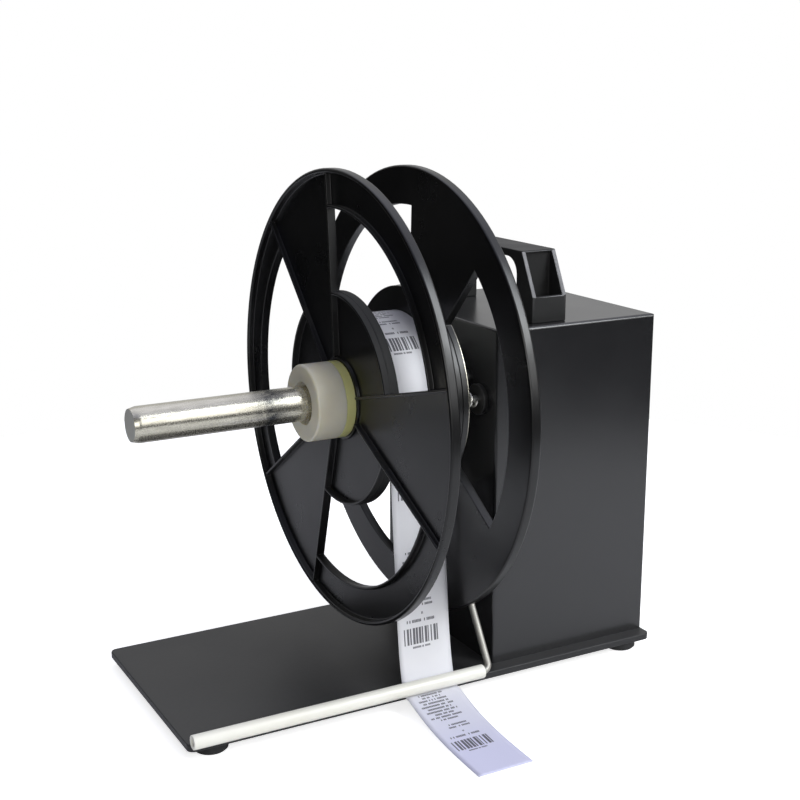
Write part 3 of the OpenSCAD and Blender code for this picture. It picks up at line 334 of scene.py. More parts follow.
# %% [markdown]
# One builder serves paint, plastic, rubber and card, because they differ only in their values. A row
# gives the colour, the lighter colour that it drifts to, the roughness from and to, grain and clouds per
# metre, and the grain's depth in metres.


# %% Skins: paint, plastic, rubber, card
DUST_COLOUR = (0.45, 0.44, 0.42)
SKIN_BUMP = 0.35


def skin(name, colour, lighter, rough, grain, clouds, depth, dust=0.0, **gloss):
    material, tree, shader = blank_material(name, colour, rough[0], **gloss)
    surface = grain_on(tree, grain, clouds)
    tone = mix_colour(tree, spread(tree, surface["Clouds"], 0.0, 1.0), colour, lighter)
    if dust:
        settled = use_group(tree, DUST, {"Amount": dust})
        tone = mix_colour(tree, settled["Dust"], tone, DUST_COLOUR)
    tree.links.new(tone, shader.inputs["Base Color"])
    tree.links.new(spread(tree, surface["Clouds"], *rough), shader.inputs["Roughness"])
    bump(tree, shader, surface["Grain"], SKIN_BUMP, depth)
    return material


SKINS = {
    "box_paint": ((0.012, 0.012, 0.013), (0.015, 0.015, 0.016), (0.22, 0.27), 900, 14, 0.00003,
                  {"dust": 0.02, "specular": 0.7}),
    "base_paint": ((0.020, 0.020, 0.021), (0.027, 0.027, 0.028), (0.36, 0.43), 1600, 22, 0.00005,
                   {"dust": 0.03, "specular": 0.36}),
    "foot_rubber": ((0.010, 0.010, 0.011), (0.018, 0.018, 0.018), (0.65, 0.80), 1500, 60, 0.0001, {}),
    "flange_plastic": ((0.0028, 0.0028, 0.0030), (0.0044, 0.0044, 0.0047), (0.26, 0.33), 2200, 26, 0.00004,
                       {"dust": 0.02}),
    "handle_plastic": ((0.016, 0.016, 0.016), (0.021, 0.021, 0.021), (0.42, 0.52), 2600, 40, 0.00008,
                       {"dust": 0.01, "specular": 0.24}),
    "black_plastic": ((0.012, 0.012, 0.012), (0.020, 0.020, 0.020), (0.35, 0.48), 2600, 60, 0.00006,
                      {"dust": 0.04}),
    "adapter_plastic": ((0.010, 0.010, 0.011), (0.016, 0.016, 0.017), (0.45, 0.6), 2200, 40, 0.00005, {}),
    "rocker_red": ((0.34, 0.012, 0.010), (0.42, 0.020, 0.016), (0.22, 0.32), 2600, 60, 0.00003, {}),
    "sleeve_plastic": ((0.84, 0.82, 0.73), (0.89, 0.88, 0.81), (0.30, 0.42), 1200, 30, 0.00004,
                       {"coat": 0.2, "coat_rough": 0.2}),
    "core_card": ((0.40, 0.27, 0.15), (0.50, 0.36, 0.22), (0.75, 0.9), 1800, 70, 0.00015, {}),
    "board_green": ((0.010, 0.10, 0.045), (0.016, 0.15, 0.07), (0.25, 0.4), 2600, 90, 0.00005, {}),
    "board_mixed": ((0.07, 0.08, 0.12), (0.16, 0.17, 0.20), (0.3, 0.5), 2600, 90, 0.00005, {}),
    "gear_case": ((0.10, 0.105, 0.11), (0.16, 0.165, 0.17), (0.5, 0.7), 1400, 60, 0.00015, {}),
}
FINISH = {}
for name, (*looks, extras) in SKINS.items():
    FINISH[name] = skin(name, *looks, **extras)
print("skins:", sorted(FINISH))

# %% [markdown]
# Metal differs from a skin: it has no colour of its own under the gloss, so its look is streaks and
# blotches in roughness and tint. Zinc plating is bright with milky patches; ground steel has fine lines;
# brass is warm. A row gives the colour, the duller colour, the roughness from and to, and where needed
# the streaks' rates along and across, their depth and their share against the blotches.


# %% Metals
METAL_BUMP = 0.3


def metal(name, colour, duller, rough, along=12.0, across=900.0, depth=0.00002, streak=0.6):
    material, tree, shader = blank_material(name, colour, rough[0], metallic=1.0)
    surface = use_group(tree, STREAKS, {"Along": along, "Across": across})
    worn = math_node(tree, "ADD", math_node(tree, "MULTIPLY", surface["Streaks"], streak),
                     math_node(tree, "MULTIPLY", surface["Blotches"], 1.0 - streak))
    tone = mix_colour(tree, spread(tree, worn, 0.0, 1.0), colour, duller)
    tree.links.new(tone, shader.inputs["Base Color"])
    tree.links.new(spread(tree, worn, *rough), shader.inputs["Roughness"])
    bump(tree, shader, surface["Streaks"], METAL_BUMP, depth)
    return material


METALS = {
    "plated_steel": ((0.78, 0.77, 0.72), (0.50, 0.49, 0.45), (0.16, 0.38)),
    "screw_steel": ((0.66, 0.66, 0.66), (0.45, 0.45, 0.44), (0.22, 0.42), 200, 700),
    "black_steel": ((0.05, 0.05, 0.052), (0.09, 0.09, 0.09), (0.35, 0.55), 200, 700),
    "bearing_steel": ((0.68, 0.69, 0.71), (0.55, 0.56, 0.58), (0.15, 0.3), 40, 900),
    "cast_alloy": ((0.62, 0.63, 0.65), (0.48, 0.49, 0.51), (0.3, 0.5), 600, 600),
    "motor_steel": ((0.60, 0.61, 0.62), (0.46, 0.47, 0.48), (0.3, 0.45), 40, 700),
    "rod_steel": ((0.46, 0.45, 0.41), (0.40, 0.39, 0.36), (0.48, 0.56), 60, 60, 0.000002, 0.0),
    "standoff_brass": ((0.70, 0.52, 0.20), (0.55, 0.40, 0.16), (0.2, 0.4), 200, 700),
}
for name, looks in METALS.items():
    FINISH[name] = metal(name, *looks)
print("metals added, finishes:", len(FINISH))

# %% [markdown]
# The spindle carries the brightest metal, so its zinc gets a few marks of its own: fine cloudy spangle
# along the bar, a dark worn patch just outside the collar, and a cut end that is duller than the turned
# side. The patch is a mask on the distance along the spindle, broken up by clouds.

# %% Zinc on the spindle
ZINC, ZINC_DULL = (0.66, 0.63, 0.54), (0.50, 0.48, 0.40)
WORN_DARK, CUT_GREY = (0.10, 0.105, 0.11), (0.62, 0.62, 0.58)
WORN_AT, WORN_REACH, WORN_GAIN = -0.0715, 0.012, 1.5
ZINC_METALLIC, CUT_LESS_METALLIC = 0.85, 0.45
CUT_ROUGHER = 0.35


def spindle_zinc(name):
    material, tree, shader = blank_material(name, (0.66, 0.65, 0.60), 0.3, metallic=1.0)
    surface = use_group(tree, STREAKS, {"Along": 90.0, "Across": 700.0})
    spangle = grain_on(tree, 1500, 160)
    tone = mix_colour(tree, spread(tree, surface["Streaks"], 0.0, 1.0), ZINC, ZINC_DULL)
    station = parts(tree, object_place(tree))["X"]
    from_patch = math_node(tree, "ABSOLUTE", math_node(tree, "SUBTRACT", station, WORN_AT))
    near = math_node(tree, "SUBTRACT", 1.0, math_node(tree, "DIVIDE", from_patch, WORN_REACH), clamp=True)
    cloudy = spread(tree, spangle["Clouds"], 0.0, 1.0)
    worn = math_node(tree, "MULTIPLY", math_node(tree, "MULTIPLY", near, cloudy), WORN_GAIN, clamp=True)
    tone = mix_colour(tree, worn, tone, WORN_DARK)
    cut_end = math_node(tree, "GREATER_THAN", math_node(tree, "ABSOLUTE", facing(tree)["X"]), 0.9)
    tree.links.new(mix_colour(tree, cut_end, tone, CUT_GREY), shader.inputs["Base Color"])
    shine = math_node(tree, "MULTIPLY_ADD", cut_end, -CUT_LESS_METALLIC, ZINC_METALLIC)
    tree.links.new(shine, shader.inputs["Metallic"])
    dull = math_node(tree, "ADD", spread(tree, spangle["Grain"], 0.22, 0.30),
                     math_node(tree, "MULTIPLY", cut_end, CUT_ROUGHER))
    tree.links.new(dull, shader.inputs["Roughness"])
    bump(tree, shader, spangle["Grain"], 0.05, 0.00002)
    return material


FINISH["spindle_zinc"] = spindle_zinc("spindle_zinc")
print("spindle finish:", FINISH["spindle_zinc"].name)

# %% [markdown]
# The handle's sloping rib ends get a painted highlight: their colour is mixed towards a lighter grey where the
# light would catch them. The mask for that is the slope itself: it reads how far a face leans back, and breaks the
# edge of the painted highlight up with clouds.

# %% Painted highlight on the handle's sloping ends
# A lighter grey, painted in as the highlight on the handle's sloping rib ends.
PAINTED_HIGHLIGHT_GREY = (0.24, 0.24, 0.25)
LEAN_FROM, LEAN_TO, FACES_ALONG = 0.12, 0.45, 0.8


def between(tree, value, low, high):
    """A mask that is 1 where the value lies between two limits."""
    return math_node(tree, "MULTIPLY", math_node(tree, "GREATER_THAN", value, low),
                     math_node(tree, "LESS_THAN", value, high))


def paint_highlight_on_slopes(material):
    tree = material.node_tree
    shader = tree.nodes["Principled BSDF"]
    aim = facing(tree, "True Normal")
    endways = math_node(tree, "GREATER_THAN", math_node(tree, "ABSOLUTE", aim["Y"]), FACES_ALONG)
    leans = math_node(tree, "MULTIPLY", between(tree, aim["Z"], LEAN_FROM, LEAN_TO), endways)
    highlight_clouds = grain_on(tree, 1400, 300)
    share = math_node(tree, "MULTIPLY", leans, spread(tree, highlight_clouds["Clouds"], 0.7, 1.0))
    plain = shader.inputs["Base Color"].links[0].from_socket
    # Painted highlight: the sloping faces are mixed towards the lighter grey.
    tree.links.new(mix_colour(tree, share, plain, PAINTED_HIGHLIGHT_GREY), shader.inputs["Base Color"])


paint_highlight_on_slopes(FINISH["handle_plastic"])
print("painted_highlight:", FINISH["handle_plastic"].name)

# %% [markdown]
# The front flange comes off at every change of roll, and its hub is pushed against the core each time.
# So the rim of that hub is duller than the glossy spokes. The mask is the distance from the spindle
# axis, in front of the roll and on faces that look away from the axis, and it only raises the roughness
# there.

# %% Dull rim on the front hub
RIM_FROM, RIM_TO, RIM_ROUGH = 0.050, 0.064, 0.66
SIDEWAYS = 0.6


def dull_rim(material):
    tree = material.node_tree
    shader = tree.nodes["Principled BSDF"]
    from_axis = node(tree, "ShaderNodeVectorMath", {0: object_place(tree), 1: AXIS}, operation="SUBTRACT")
    flat = node(tree, "ShaderNodeVectorMath", {0: from_axis.outputs["Vector"], 1: (0, 1, 1)},
                operation="MULTIPLY")
    away = node(tree, "ShaderNodeVectorMath", {0: flat.outputs["Vector"]}, operation="LENGTH")
    rim = between(tree, away.outputs["Value"], RIM_FROM, RIM_TO)
    station = parts(tree, object_place(tree))["X"]
    in_front = math_node(tree, "LESS_THAN", station, (ROLL_LOW.x + ROLL_HIGH.x) / 2)
    look_x = math_node(tree, "ABSOLUTE", facing(tree, "True Normal")["X"])
    rim = math_node(tree, "MULTIPLY", rim, in_front)
    rim = math_node(tree, "MULTIPLY", rim, math_node(tree, "LESS_THAN", look_x, SIDEWAYS))
    raised = math_node(tree, "MULTIPLY", rim, RIM_ROUGH)
    plain = shader.inputs["Roughness"].links[0].from_socket
    tree.links.new(math_node(tree, "MAXIMUM", plain, raised), shader.inputs["Roughness"])


dull_rim(FINISH["flange_plastic"])
print("dull rim:", FINISH["flange_plastic"].name)

# %% [markdown]
# The lock collar is milky nylon and the ring behind it a soft yellowish rubber. Light goes a little way
# into both, so they get subsurface scattering with a short reach, set as plain numbers, and only the
# tint varies.


# %% Nylon and grip rubber
def milky(name, colour, deeper, rough, reach):
    material = skin(name, colour, deeper, rough, 1500, 45, 0.00003)
    shader = material.node_tree.nodes["Principled BSDF"]
    shader.inputs["Subsurface Weight"].default_value = 0.9
    shader.inputs["Subsurface Radius"].default_value = (1.0, 0.9, 0.6)
    shader.inputs["Subsurface Scale"].default_value = reach
    return material


FINISH["nylon_white"] = milky("nylon_white", (0.66, 0.63, 0.51), (0.70, 0.67, 0.56), (0.36, 0.46), 0.006)
FINISH["grip_yellow"] = milky("grip_yellow", (0.54, 0.53, 0.23), (0.60, 0.59, 0.27), (0.38, 0.5), 0.002)
print("milky:", FINISH["nylon_white"].name, FINISH["grip_yellow"].name)

# %% [markdown]
# The tape is white coated stock with a print that repeats. The print is a generic one: rows of dashes, a
# block of upright bars and a row of dots. It lives in the piece's UV map, in metres: U runs across the
# tape from its left edge, V along it from where it leaves the roll, so it follows the tape round the
# roll and the sleeve. White noise on whole numbers is the dice: it sets how long a row is, which dashes
# are missing and how wide a bar is.

# %% Rows of dashes
ROW_PITCH = 0.00245
ROW_LEAST, ROW_MORE = 0.55, 0.45
DASH_INK, BLANK_CHANCE = 0.8, 0.14
ROW_SEED = 37.0


def chance(tree, value):
    return node(tree, "ShaderNodeTexWhiteNoise", {"W": value}, noise_dimensions="1D").outputs["Value"]


def cell_of(tree, value, size):
    return math_node(tree, "FLOOR", math_node(tree, "DIVIDE", value, size))


def in_cell(tree, value, size):
    return math_node(tree, "FLOORED_MODULO", value, size)


def dashes(tree, u, along, start, end, height, middle, longest, seed, dash):
    """Rows of short dashes of chance lengths between two distances along one label."""
    offset = math_node(tree, "SUBTRACT", along, start)
    row = cell_of(tree, offset, ROW_PITCH)
    in_row = math_node(tree, "LESS_THAN", in_cell(tree, offset, ROW_PITCH), height)
    half = math_node(tree, "MULTIPLY_ADD", chance(tree, math_node(tree, "ADD", row, seed)),
                     longest * ROW_MORE, longest * ROW_LEAST)
    from_middle = math_node(tree, "ABSOLUTE", math_node(tree, "SUBTRACT", u, middle))
    near = math_node(tree, "LESS_THAN", from_middle, half)
    which = math_node(tree, "ADD", cell_of(tree, u, dash), math_node(tree, "MULTIPLY", row, ROW_SEED))
    inked = math_node(tree, "GREATER_THAN", chance(tree, math_node(tree, "ADD", which, seed)), BLANK_CHANCE)
    stroke = math_node(tree, "LESS_THAN", in_cell(tree, u, dash), dash * DASH_INK)
    mask = between(tree, along, start, end)
    for part in (in_row, near, inked, stroke):
        mask = math_node(tree, "MULTIPLY", mask, part)
    return mask


print("row pitch", ROW_PITCH * 1000, "mm")

# %% [markdown]
# The whole label is then a list of such rows, each with its start and end along the label, the height of its
# strokes, its middle and greatest half-width across the tape, a seed and a dash width. A painted bluish tint grows
# along the tape towards the free end: it stands in for the cool overhead light that falls on the tail where it
# lies flat.

# %% Printed tape
LABEL_PITCH = 0.082
FIRST_BARS, BARS_IN_LABEL = 0.1225, 0.046
PRINT_ROWS = (
    (0.0025, 0.0270, 0.0013, 0.0142, 0.0104, 11.0, 0.00085),
    (0.0300, 0.0349, 0.0013, 0.0165, 0.0070, 57.0, 0.00085),
    (0.0372, 0.0386, 0.0014, 0.0160, 0.0008, 71.0, 0.00085),
    (0.0410, 0.0427, 0.0016, 0.0150, 0.0100, 93.0, 0.00085),
    (0.0557, 0.0568, 0.0011, 0.0145, 0.0100, 121.0, 0.0006),
)
BAR_PITCH, BAR_SEED = 0.0019, 400.0
BAR_LEAST, BAR_MORE = 0.3, 0.5
BARS_ALONG, BARS_ACROSS = (0.0455, 0.0545), (0.0032, 0.0255)
# The painted bluish tint for the cool overhead light on the flat tail: where it starts along V, over what length
# it grows, and its colour.
SKY_TINT_FROM, SKY_TINT_OVER = 0.14, 0.08
PAPER, PAPER_LIGHT = (0.76, 0.76, 0.79), (0.79, 0.79, 0.81)
PAPER_SKYLIGHT_TINT = (0.70, 0.70, 0.90)
INK, INK_COVER = (0.035, 0.033, 0.045), 0.88


def bars(tree, u, along):
    """A block of upright bars of chance widths."""
    dice = chance(tree, math_node(tree, "ADD", cell_of(tree, u, BAR_PITCH), BAR_SEED))
    ink_width = math_node(tree, "MULTIPLY_ADD", dice, BAR_PITCH * BAR_MORE, BAR_PITCH * BAR_LEAST)
    bar = math_node(tree, "LESS_THAN", in_cell(tree, u, BAR_PITCH), ink_width)
    block = math_node(tree, "MULTIPLY", between(tree, along, *BARS_ALONG), between(tree, u, *BARS_ACROSS))
    return math_node(tree, "MULTIPLY", block, bar)


def printed_tape(name):
    material, tree, shader = blank_material(name, (0.86, 0.86, 0.88), 0.5)
    place = parts(tree, node(tree, "ShaderNodeUVMap", uv_map="tape").outputs["UV"])
    u, v = place["X"], place["Y"]
    along = in_cell(tree, math_node(tree, "SUBTRACT", v, FIRST_BARS - BARS_IN_LABEL), LABEL_PITCH)
    ink = bars(tree, u, along)
    for row in PRINT_ROWS:
        ink = math_node(tree, "MAXIMUM", ink, dashes(tree, u, along, *row))
    surface = grain_on(tree, 2400, 35)
    paper = mix_colour(tree, spread(tree, surface["Clouds"], 0.0, 1.0), PAPER, PAPER_LIGHT)
    # Painted light: a bluish tint for the overhead light grows along V towards the free end.
    sky_tint_share = math_node(tree, "DIVIDE", math_node(tree, "SUBTRACT", v, SKY_TINT_FROM), SKY_TINT_OVER, clamp=True)
    paper = mix_colour(tree, sky_tint_share, paper, PAPER_SKYLIGHT_TINT)
    cover = math_node(tree, "MULTIPLY", ink, INK_COVER)
    tree.links.new(mix_colour(tree, cover, paper, INK), shader.inputs["Base Color"])
    tree.links.new(spread(tree, surface["Clouds"], 0.42, 0.55), shader.inputs["Roughness"])
    bump(tree, shader, surface["Grain"], 0.2, 0.00003)
    return material


FINISH["label_paper"] = printed_tape("label_paper")
print("print repeats every", LABEL_PITCH * 1000, "mm")

# %% [markdown]
# Every solid takes the finish of its material slot in the record. Some solids are replaced later by a
# softer piece with the same finish, and the rest stay as they are. The arm's rod shares a slot with
# brighter steel, so it gets its duller finish by name.

# %% Dress the solids
SLOT = {subpart["node"]: subpart["material_slot"] for subpart in frame["record"]["subparts"]}
for name, solid in NODES.items():
    solid.data.materials.clear()
    solid.data.materials.append(FINISH[SLOT[name]])
NODES["arm_rod"].data.materials[0] = FINISH["rod_steel"]
print("dressed", len(SLOT), "solids in", len(set(SLOT.values())), "finishes")

# %% [markdown]
# CAD edges are perfectly sharp, and real ones never are: a thin line of light on each edge is what makes
# a black object readable. The visible solids are copied, their loose triangles are joined, and a Bevel
# modifier rounds each sharp edge. Weighted normals keep the large faces flat beside the round edges. The
# result is made a plain mesh that stands for the solid. Running fits get the finest rounding, so that
# nothing rubs.


# %% Soft-edged copies of the visible solids
def keep_mesh(obj):
    """Turns an object with modifiers into a plain mesh."""
    graph = bpy.context.evaluated_depsgraph_get()
    plain = bpy.data.meshes.new_from_object(obj.evaluated_get(graph))
    obj.modifiers.clear()
    old, obj.data = obj.data, plain
    bpy.data.meshes.remove(old)


def to_mesh(shape, name):
    """Turns a bmesh into a mesh and lets it go."""
    mesh = bpy.data.meshes.new(name)
    shape.to_mesh(mesh)
    shape.free()
    return mesh


JOIN_WITHIN = 2e-6


def joined_copy(name):
    """A bmesh of a solid with its loose triangles joined."""
    shape = bmesh.new()
    shape.from_mesh(NODES[name].data)
    bmesh.ops.remove_doubles(shape, verts=shape.verts, dist=JOIN_WITHIN)
    return shape


def body_of(name):
    return next(b for b, members in frame["record"]["behaviour"]["bodies"].items() if name in members)


EDGE_WIDTH = {
    "base_plate": 0.0005, "carry_handle": 0.0006, "front_flange": 0.0005, "rear_flange": 0.0005,
    "lock_collar": 0.0005, "grip_ring": 0.0004, "spindle_shaft": 0.0001, "guide_sleeve": 0.0003,
    "stop_post": 0.0003, "stop_washer": 0.0004, "switch_body": 0.0003, "switch_rocker": 0.0003,
    "speed_knob": 0.0003, "power_inlet": 0.0003, "arm_hub": 0.0001,
}
SHARP_FROM = 30.0


def soft_edges(name):
    shape = joined_copy(name)
    for face in shape.faces:
        face.smooth = True
    piece = put(name + "_soft", to_mesh(shape, name + "_soft"))
    piece.data.materials.append(FINISH[SLOT[name]])
    rounding = piece.modifiers.new("rounding", "BEVEL")
    rounding.width = EDGE_WIDTH[name]
    rounding.segments = 2
    rounding.limit_method = "ANGLE"
    rounding.angle_limit = math.radians(SHARP_FROM)
    rounding.use_clamp_overlap = False
    rounding.loop_slide = False
    even = piece.modifiers.new("even_faces", "WEIGHTED_NORMAL")
    even.keep_sharp = True
    keep_mesh(piece)
    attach(piece, body_of(name))
    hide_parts(name)
    return piece


for name in EDGE_WIDTH:
    piece = soft_edges(name)
    if name == "spindle_shaft":
        piece.data.materials[0] = FINISH["spindle_zinc"]
    print(piece.name, len(piece.data.polygons), "faces")

# %% [markdown]
# The stop spring is a coil, so it follows a rule: a Geometry Nodes tree sweeps a small circle along a
# spiral. Its inputs carry names, and the modifier sets them by each socket's identifier before the tree
# first runs.


# %% A tree for a coil spring
def nodes_tree(name, inputs):
    tree = bpy.data.node_groups.new(name, "GeometryNodeTree")
    tree.interface.new_socket("Geometry", in_out="INPUT", socket_type="NodeSocketGeometry")
    keys = {}
    for label, kind in inputs.items():
        keys[label] = tree.interface.new_socket(label, in_out="INPUT", socket_type=kind).identifier
    tree.interface.new_socket("Geometry", in_out="OUTPUT", socket_type="NodeSocketGeometry")
    return tree, tree.nodes.new("NodeGroupInput").outputs, tree.nodes.new("NodeGroupOutput").inputs, keys


def grow(name, mesh, tree, keys, values):
    """Runs a tree on a mesh and returns the result as a plain object."""
    obj = put(name, mesh)
    modifier = obj.modifiers.new("tree", "NODES")
    modifier.node_group = tree
    for label, value in values.items():
        modifier[keys[label]] = value
    keep_mesh(obj)
    return obj


COIL, given, wanted, COIL_KEYS = nodes_tree("coil_spring", {
    "Turns": "NodeSocketFloat", "Radius": "NodeSocketFloat", "Length": "NodeSocketFloat",
    "Wire": "NodeSocketFloat", "Finish": "NodeSocketMaterial"})
spiral = node(COIL, "GeometryNodeCurveSpiral", {
    "Resolution": 40, "Rotations": given["Turns"], "Start Radius": given["Radius"],
    "End Radius": given["Radius"], "Height": given["Length"]})
wire = node(COIL, "GeometryNodeCurvePrimitiveCircle", {"Resolution": 14, "Radius": given["Wire"]})
sweep = node(COIL, "GeometryNodeCurveToMesh", {
    "Curve": spiral.outputs["Curve"], "Profile Curve": wire.outputs["Curve"], "Fill Caps": True})
smooth = node(COIL, "GeometryNodeSetShadeSmooth", {"Geometry": sweep.outputs["Mesh"]})
realize = node(COIL, "GeometryNodeRealizeInstances", {"Geometry": smooth.outputs["Geometry"]})
finish = node(COIL, "GeometryNodeSetMaterial", {
    "Geometry": realize.outputs["Geometry"], "Material": given["Finish"]})
COIL.links.new(finish.outputs["Geometry"], wanted["Geometry"])
print("tree", COIL.name, list(COIL_KEYS))

# %% [markdown]
# The tree winds its coil upright at the origin. The mesh is then turned to lie along the stop post and
# moved to the solid's place, so that the object itself stays at the origin.

# %% The stop spring
WIRE, SPRING_TURNS = 0.0009, 2.0

low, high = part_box("stop_spring")
spring = grow("stop_spring_coil", bpy.data.meshes.new("stop_spring_coil"), COIL, COIL_KEYS, {
    "Turns": SPRING_TURNS, "Radius": (high.y - low.y) / 2 - WIRE, "Length": high.x - low.x - 2 * WIRE,
    "Wire": WIRE, "Finish": FINISH["plated_steel"]})
to_post = Matrix.Translation((low.x + WIRE, (low.y + high.y) / 2, (low.z + high.z) / 2))
tipped = Matrix.Rotation(math.radians(-90), 4, "X")
laid = Matrix.Rotation(math.radians(90), 4, "Y")
spring.data.transform(to_post @ tipped @ laid)
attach(spring, "frame")
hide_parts("stop_spring")
print("spring:", len(spring.data.vertices), "points")

# %% [markdown]
# Screw heads repeat, so one head is modelled and a second tree sets it on a few points. The head is a
# low dome with a cross cut into it. It is turned from a profile, and the gap between the dome and the
# cross is filled.


# %% One screw head
HEAD_SIDES = 24


def turned_rings(shape, profile, turns):
    """Rings of points for a profile of radius and height, turned round Z."""
    corners = [2 * math.pi * k / turns for k in range(turns)]
    return [[shape.verts.new((r * math.cos(a), r * math.sin(a), z)) for a in corners] for r, z in profile]


def pan_head(radius, height):
    """A domed head with a cross recess, base at Z = 0, looking up."""
    shape = bmesh.new()
    brim, crown = height * 0.45, height * 0.97
    rings = turned_rings(shape, [(radius, 0.0), (radius, brim), (radius * 0.86, height * 0.78),
                                 (radius * 0.55, crown)], HEAD_SIDES)
    for a, b in zip(rings, rings[1:]):
        for k in range(HEAD_SIDES):
            after = (k + 1) % HEAD_SIDES
            shape.faces.new((a[k], a[after], b[after], b[k]))
    shape.faces.new(list(reversed(rings[0])))
    arm, half, taper = radius * 0.5, radius * 0.13, 0.8
    cross = [(half, arm), (half, half), (arm, half), (arm, -half), (half, -half), (half, -arm),
             (-half, -arm), (-half, -half), (-arm, -half), (-arm, half), (-half, half), (-half, arm)]
    mouth = [shape.verts.new((x, y, crown)) for x, y in reversed(cross)]
    floor = [shape.verts.new((x * taper, y * taper, brim)) for x, y in reversed(cross)]
    for k in range(len(mouth)):
        after = (k + 1) % len(mouth)
        shape.faces.new((mouth[k], mouth[after], floor[after], floor[k]))
    shape.faces.new(floor)
    rim = [edge for edge in shape.edges if edge.is_boundary]
    bmesh.ops.triangle_fill(shape, use_beauty=True, edges=rim)
    bmesh.ops.recalc_face_normals(shape, faces=shape.faces)
    return to_mesh(shape, "pan_head")


print("screw head with", HEAD_SIDES, "sides")

# %% [markdown]
# The second tree sets a shape on points. Each point carries the direction that its copy looks in as a
# vector attribute, and the copies are made real so that the export keeps them.

# %% A tree that sets a shape on points
SET, given, wanted, SET_KEYS = nodes_tree("screws_on_points", {
    "Head": "NodeSocketObject", "Finish": "NodeSocketMaterial"})
shape_info = node(SET, "GeometryNodeObjectInfo", {"Object": given["Head"]})
looking = node(SET, "GeometryNodeInputNamedAttribute", {"Name": "looks"}, data_type="FLOAT_VECTOR")
turned = node(SET, "FunctionNodeAlignRotationToVector", {"Vector": looking.outputs["Attribute"]}, axis="Z")
points = node(SET, "GeometryNodeMeshToPoints", {"Mesh": given["Geometry"]})
setter = node(SET, "GeometryNodeInstanceOnPoints", {
    "Points": points.outputs["Points"], "Instance": shape_info.outputs["Geometry"],
    "Rotation": turned.outputs["Rotation"]})
made_real = node(SET, "GeometryNodeRealizeInstances", {"Geometry": setter.outputs["Instances"]})
painted = node(SET, "GeometryNodeSetMaterial", {
    "Geometry": made_real.outputs["Geometry"], "Material": given["Finish"]})
SET.links.new(painted.outputs["Geometry"], wanted["Geometry"])


def set_on_points(name, shape, spots, material, smooth):
    """Sets copies of a mesh on points, each looking along its own direction, as one plain mesh."""
    tool = put(name + "_one", shape)
    mesh = bpy.data.meshes.new(name)
    mesh.from_pydata([spot for spot, _ in spots], [], [])
    looks = mesh.attributes.new("looks", "FLOAT_VECTOR", "POINT")
    for k, (_, direction) in enumerate(spots):
        looks.data[k].vector = direction
    made = grow(name, mesh, SET, SET_KEYS, {"Head": tool, "Finish": material})
    bpy.data.objects.remove(tool)
    for face in made.data.polygons:
        face.use_smooth = smooth
    return made


print("tree", SET.name, list(SET_KEYS))

# %% [markdown]
# The heads go where the solids' heads are. A solid screw node holds all its screws, so its separate
# shells are found first, and each shell's box gives the place and the size of its head.


# %% Screw heads on the box, the handle and under the base
def shells(name):
    """Boxes of the separate shells in a solid's mesh."""
    shape = joined_copy(name)
    seen, boxes = set(), []
    for start in shape.verts:
        if start in seen:
            continue
        stack, mine = [start], []
        seen.add(start)
        while stack:
            vert = stack.pop()
            mine.append(vert.co.copy())
            for edge in vert.link_edges:
                other = edge.other_vert(vert)
                if other not in seen:
                    seen.add(other)
                    stack.append(other)
        boxes.append((Vector(map(min, *mine)), Vector(map(max, *mine))))
    shape.free()
    return boxes


def heads_for(name, direction, height, slot):
    """Pan heads on every screw of a node, looking along one direction, where the solid's heads end."""
    look = Vector(direction)
    spots = []
    for low, high in shells(name):
        middle = (low + high) / 2
        tip = Vector([high[k] if look[k] > 0 else low[k] if look[k] < 0 else middle[k] for k in range(3)])
        spots.append((tip - look * height, look))
        across = max((high - low)[k] for k in range(3) if look[k] == 0)
    made = set_on_points(name + "_heads", pan_head(across / 2, height), spots, FINISH[slot], False)
    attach(made, body_of(name))
    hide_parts(name)
    return made


for name, direction, height, slot in (("handle_screws", (0, 0, 1), 0.0024, "screw_steel"),
                                      ("bearing_screws", (-1, 0, 0), 0.003, "black_steel"),
                                      ("foot_screws", (0, 0, -1), 0.0024, "screw_steel"),
                                      ("housing_screws", (0, 0, -1), 0.0024, "screw_steel")):
    heads = heads_for(name, direction, height, slot)
    print(heads.name, len(heads.data.polygons), "faces")

# %% [markdown]
# Moulded flanges carry the small round marks of the pins that pushed them out of the mould. Each is a
# thin raised ring. The same tree sets them: two on each hub field, and one near the end of each spoke,
# on the outer face.

# %% Ejector marks on the flanges
MARK_R, MARK_W, MARK_H = 0.0022, 0.0002, 0.00005
MARK_SIDES = 28
PANEL_DEPTH, HUB_DEPTH = 0.0040, 0.00475
SPOKE_MARK = (0.1176, 13)
HUB_MARKS = ((0.0462, 24), (0.0538, -35))


def mark_ring():
    shape = bmesh.new()
    flat = MARK_W * 0.4
    rings = turned_rings(shape, [(MARK_R - MARK_W, 0.0), (MARK_R - flat, MARK_H), (MARK_R + flat, MARK_H),
                                 (MARK_R + MARK_W, 0.0)], MARK_SIDES)
    for a, b in zip(rings, rings[1:]):
        for k in range(MARK_SIDES):
            after = (k + 1) % MARK_SIDES
            shape.faces.new((a[k], b[k], b[after], a[after]))
    bmesh.ops.recalc_face_normals(shape, faces=shape.faces)
    return to_mesh(shape, "mark_ring")


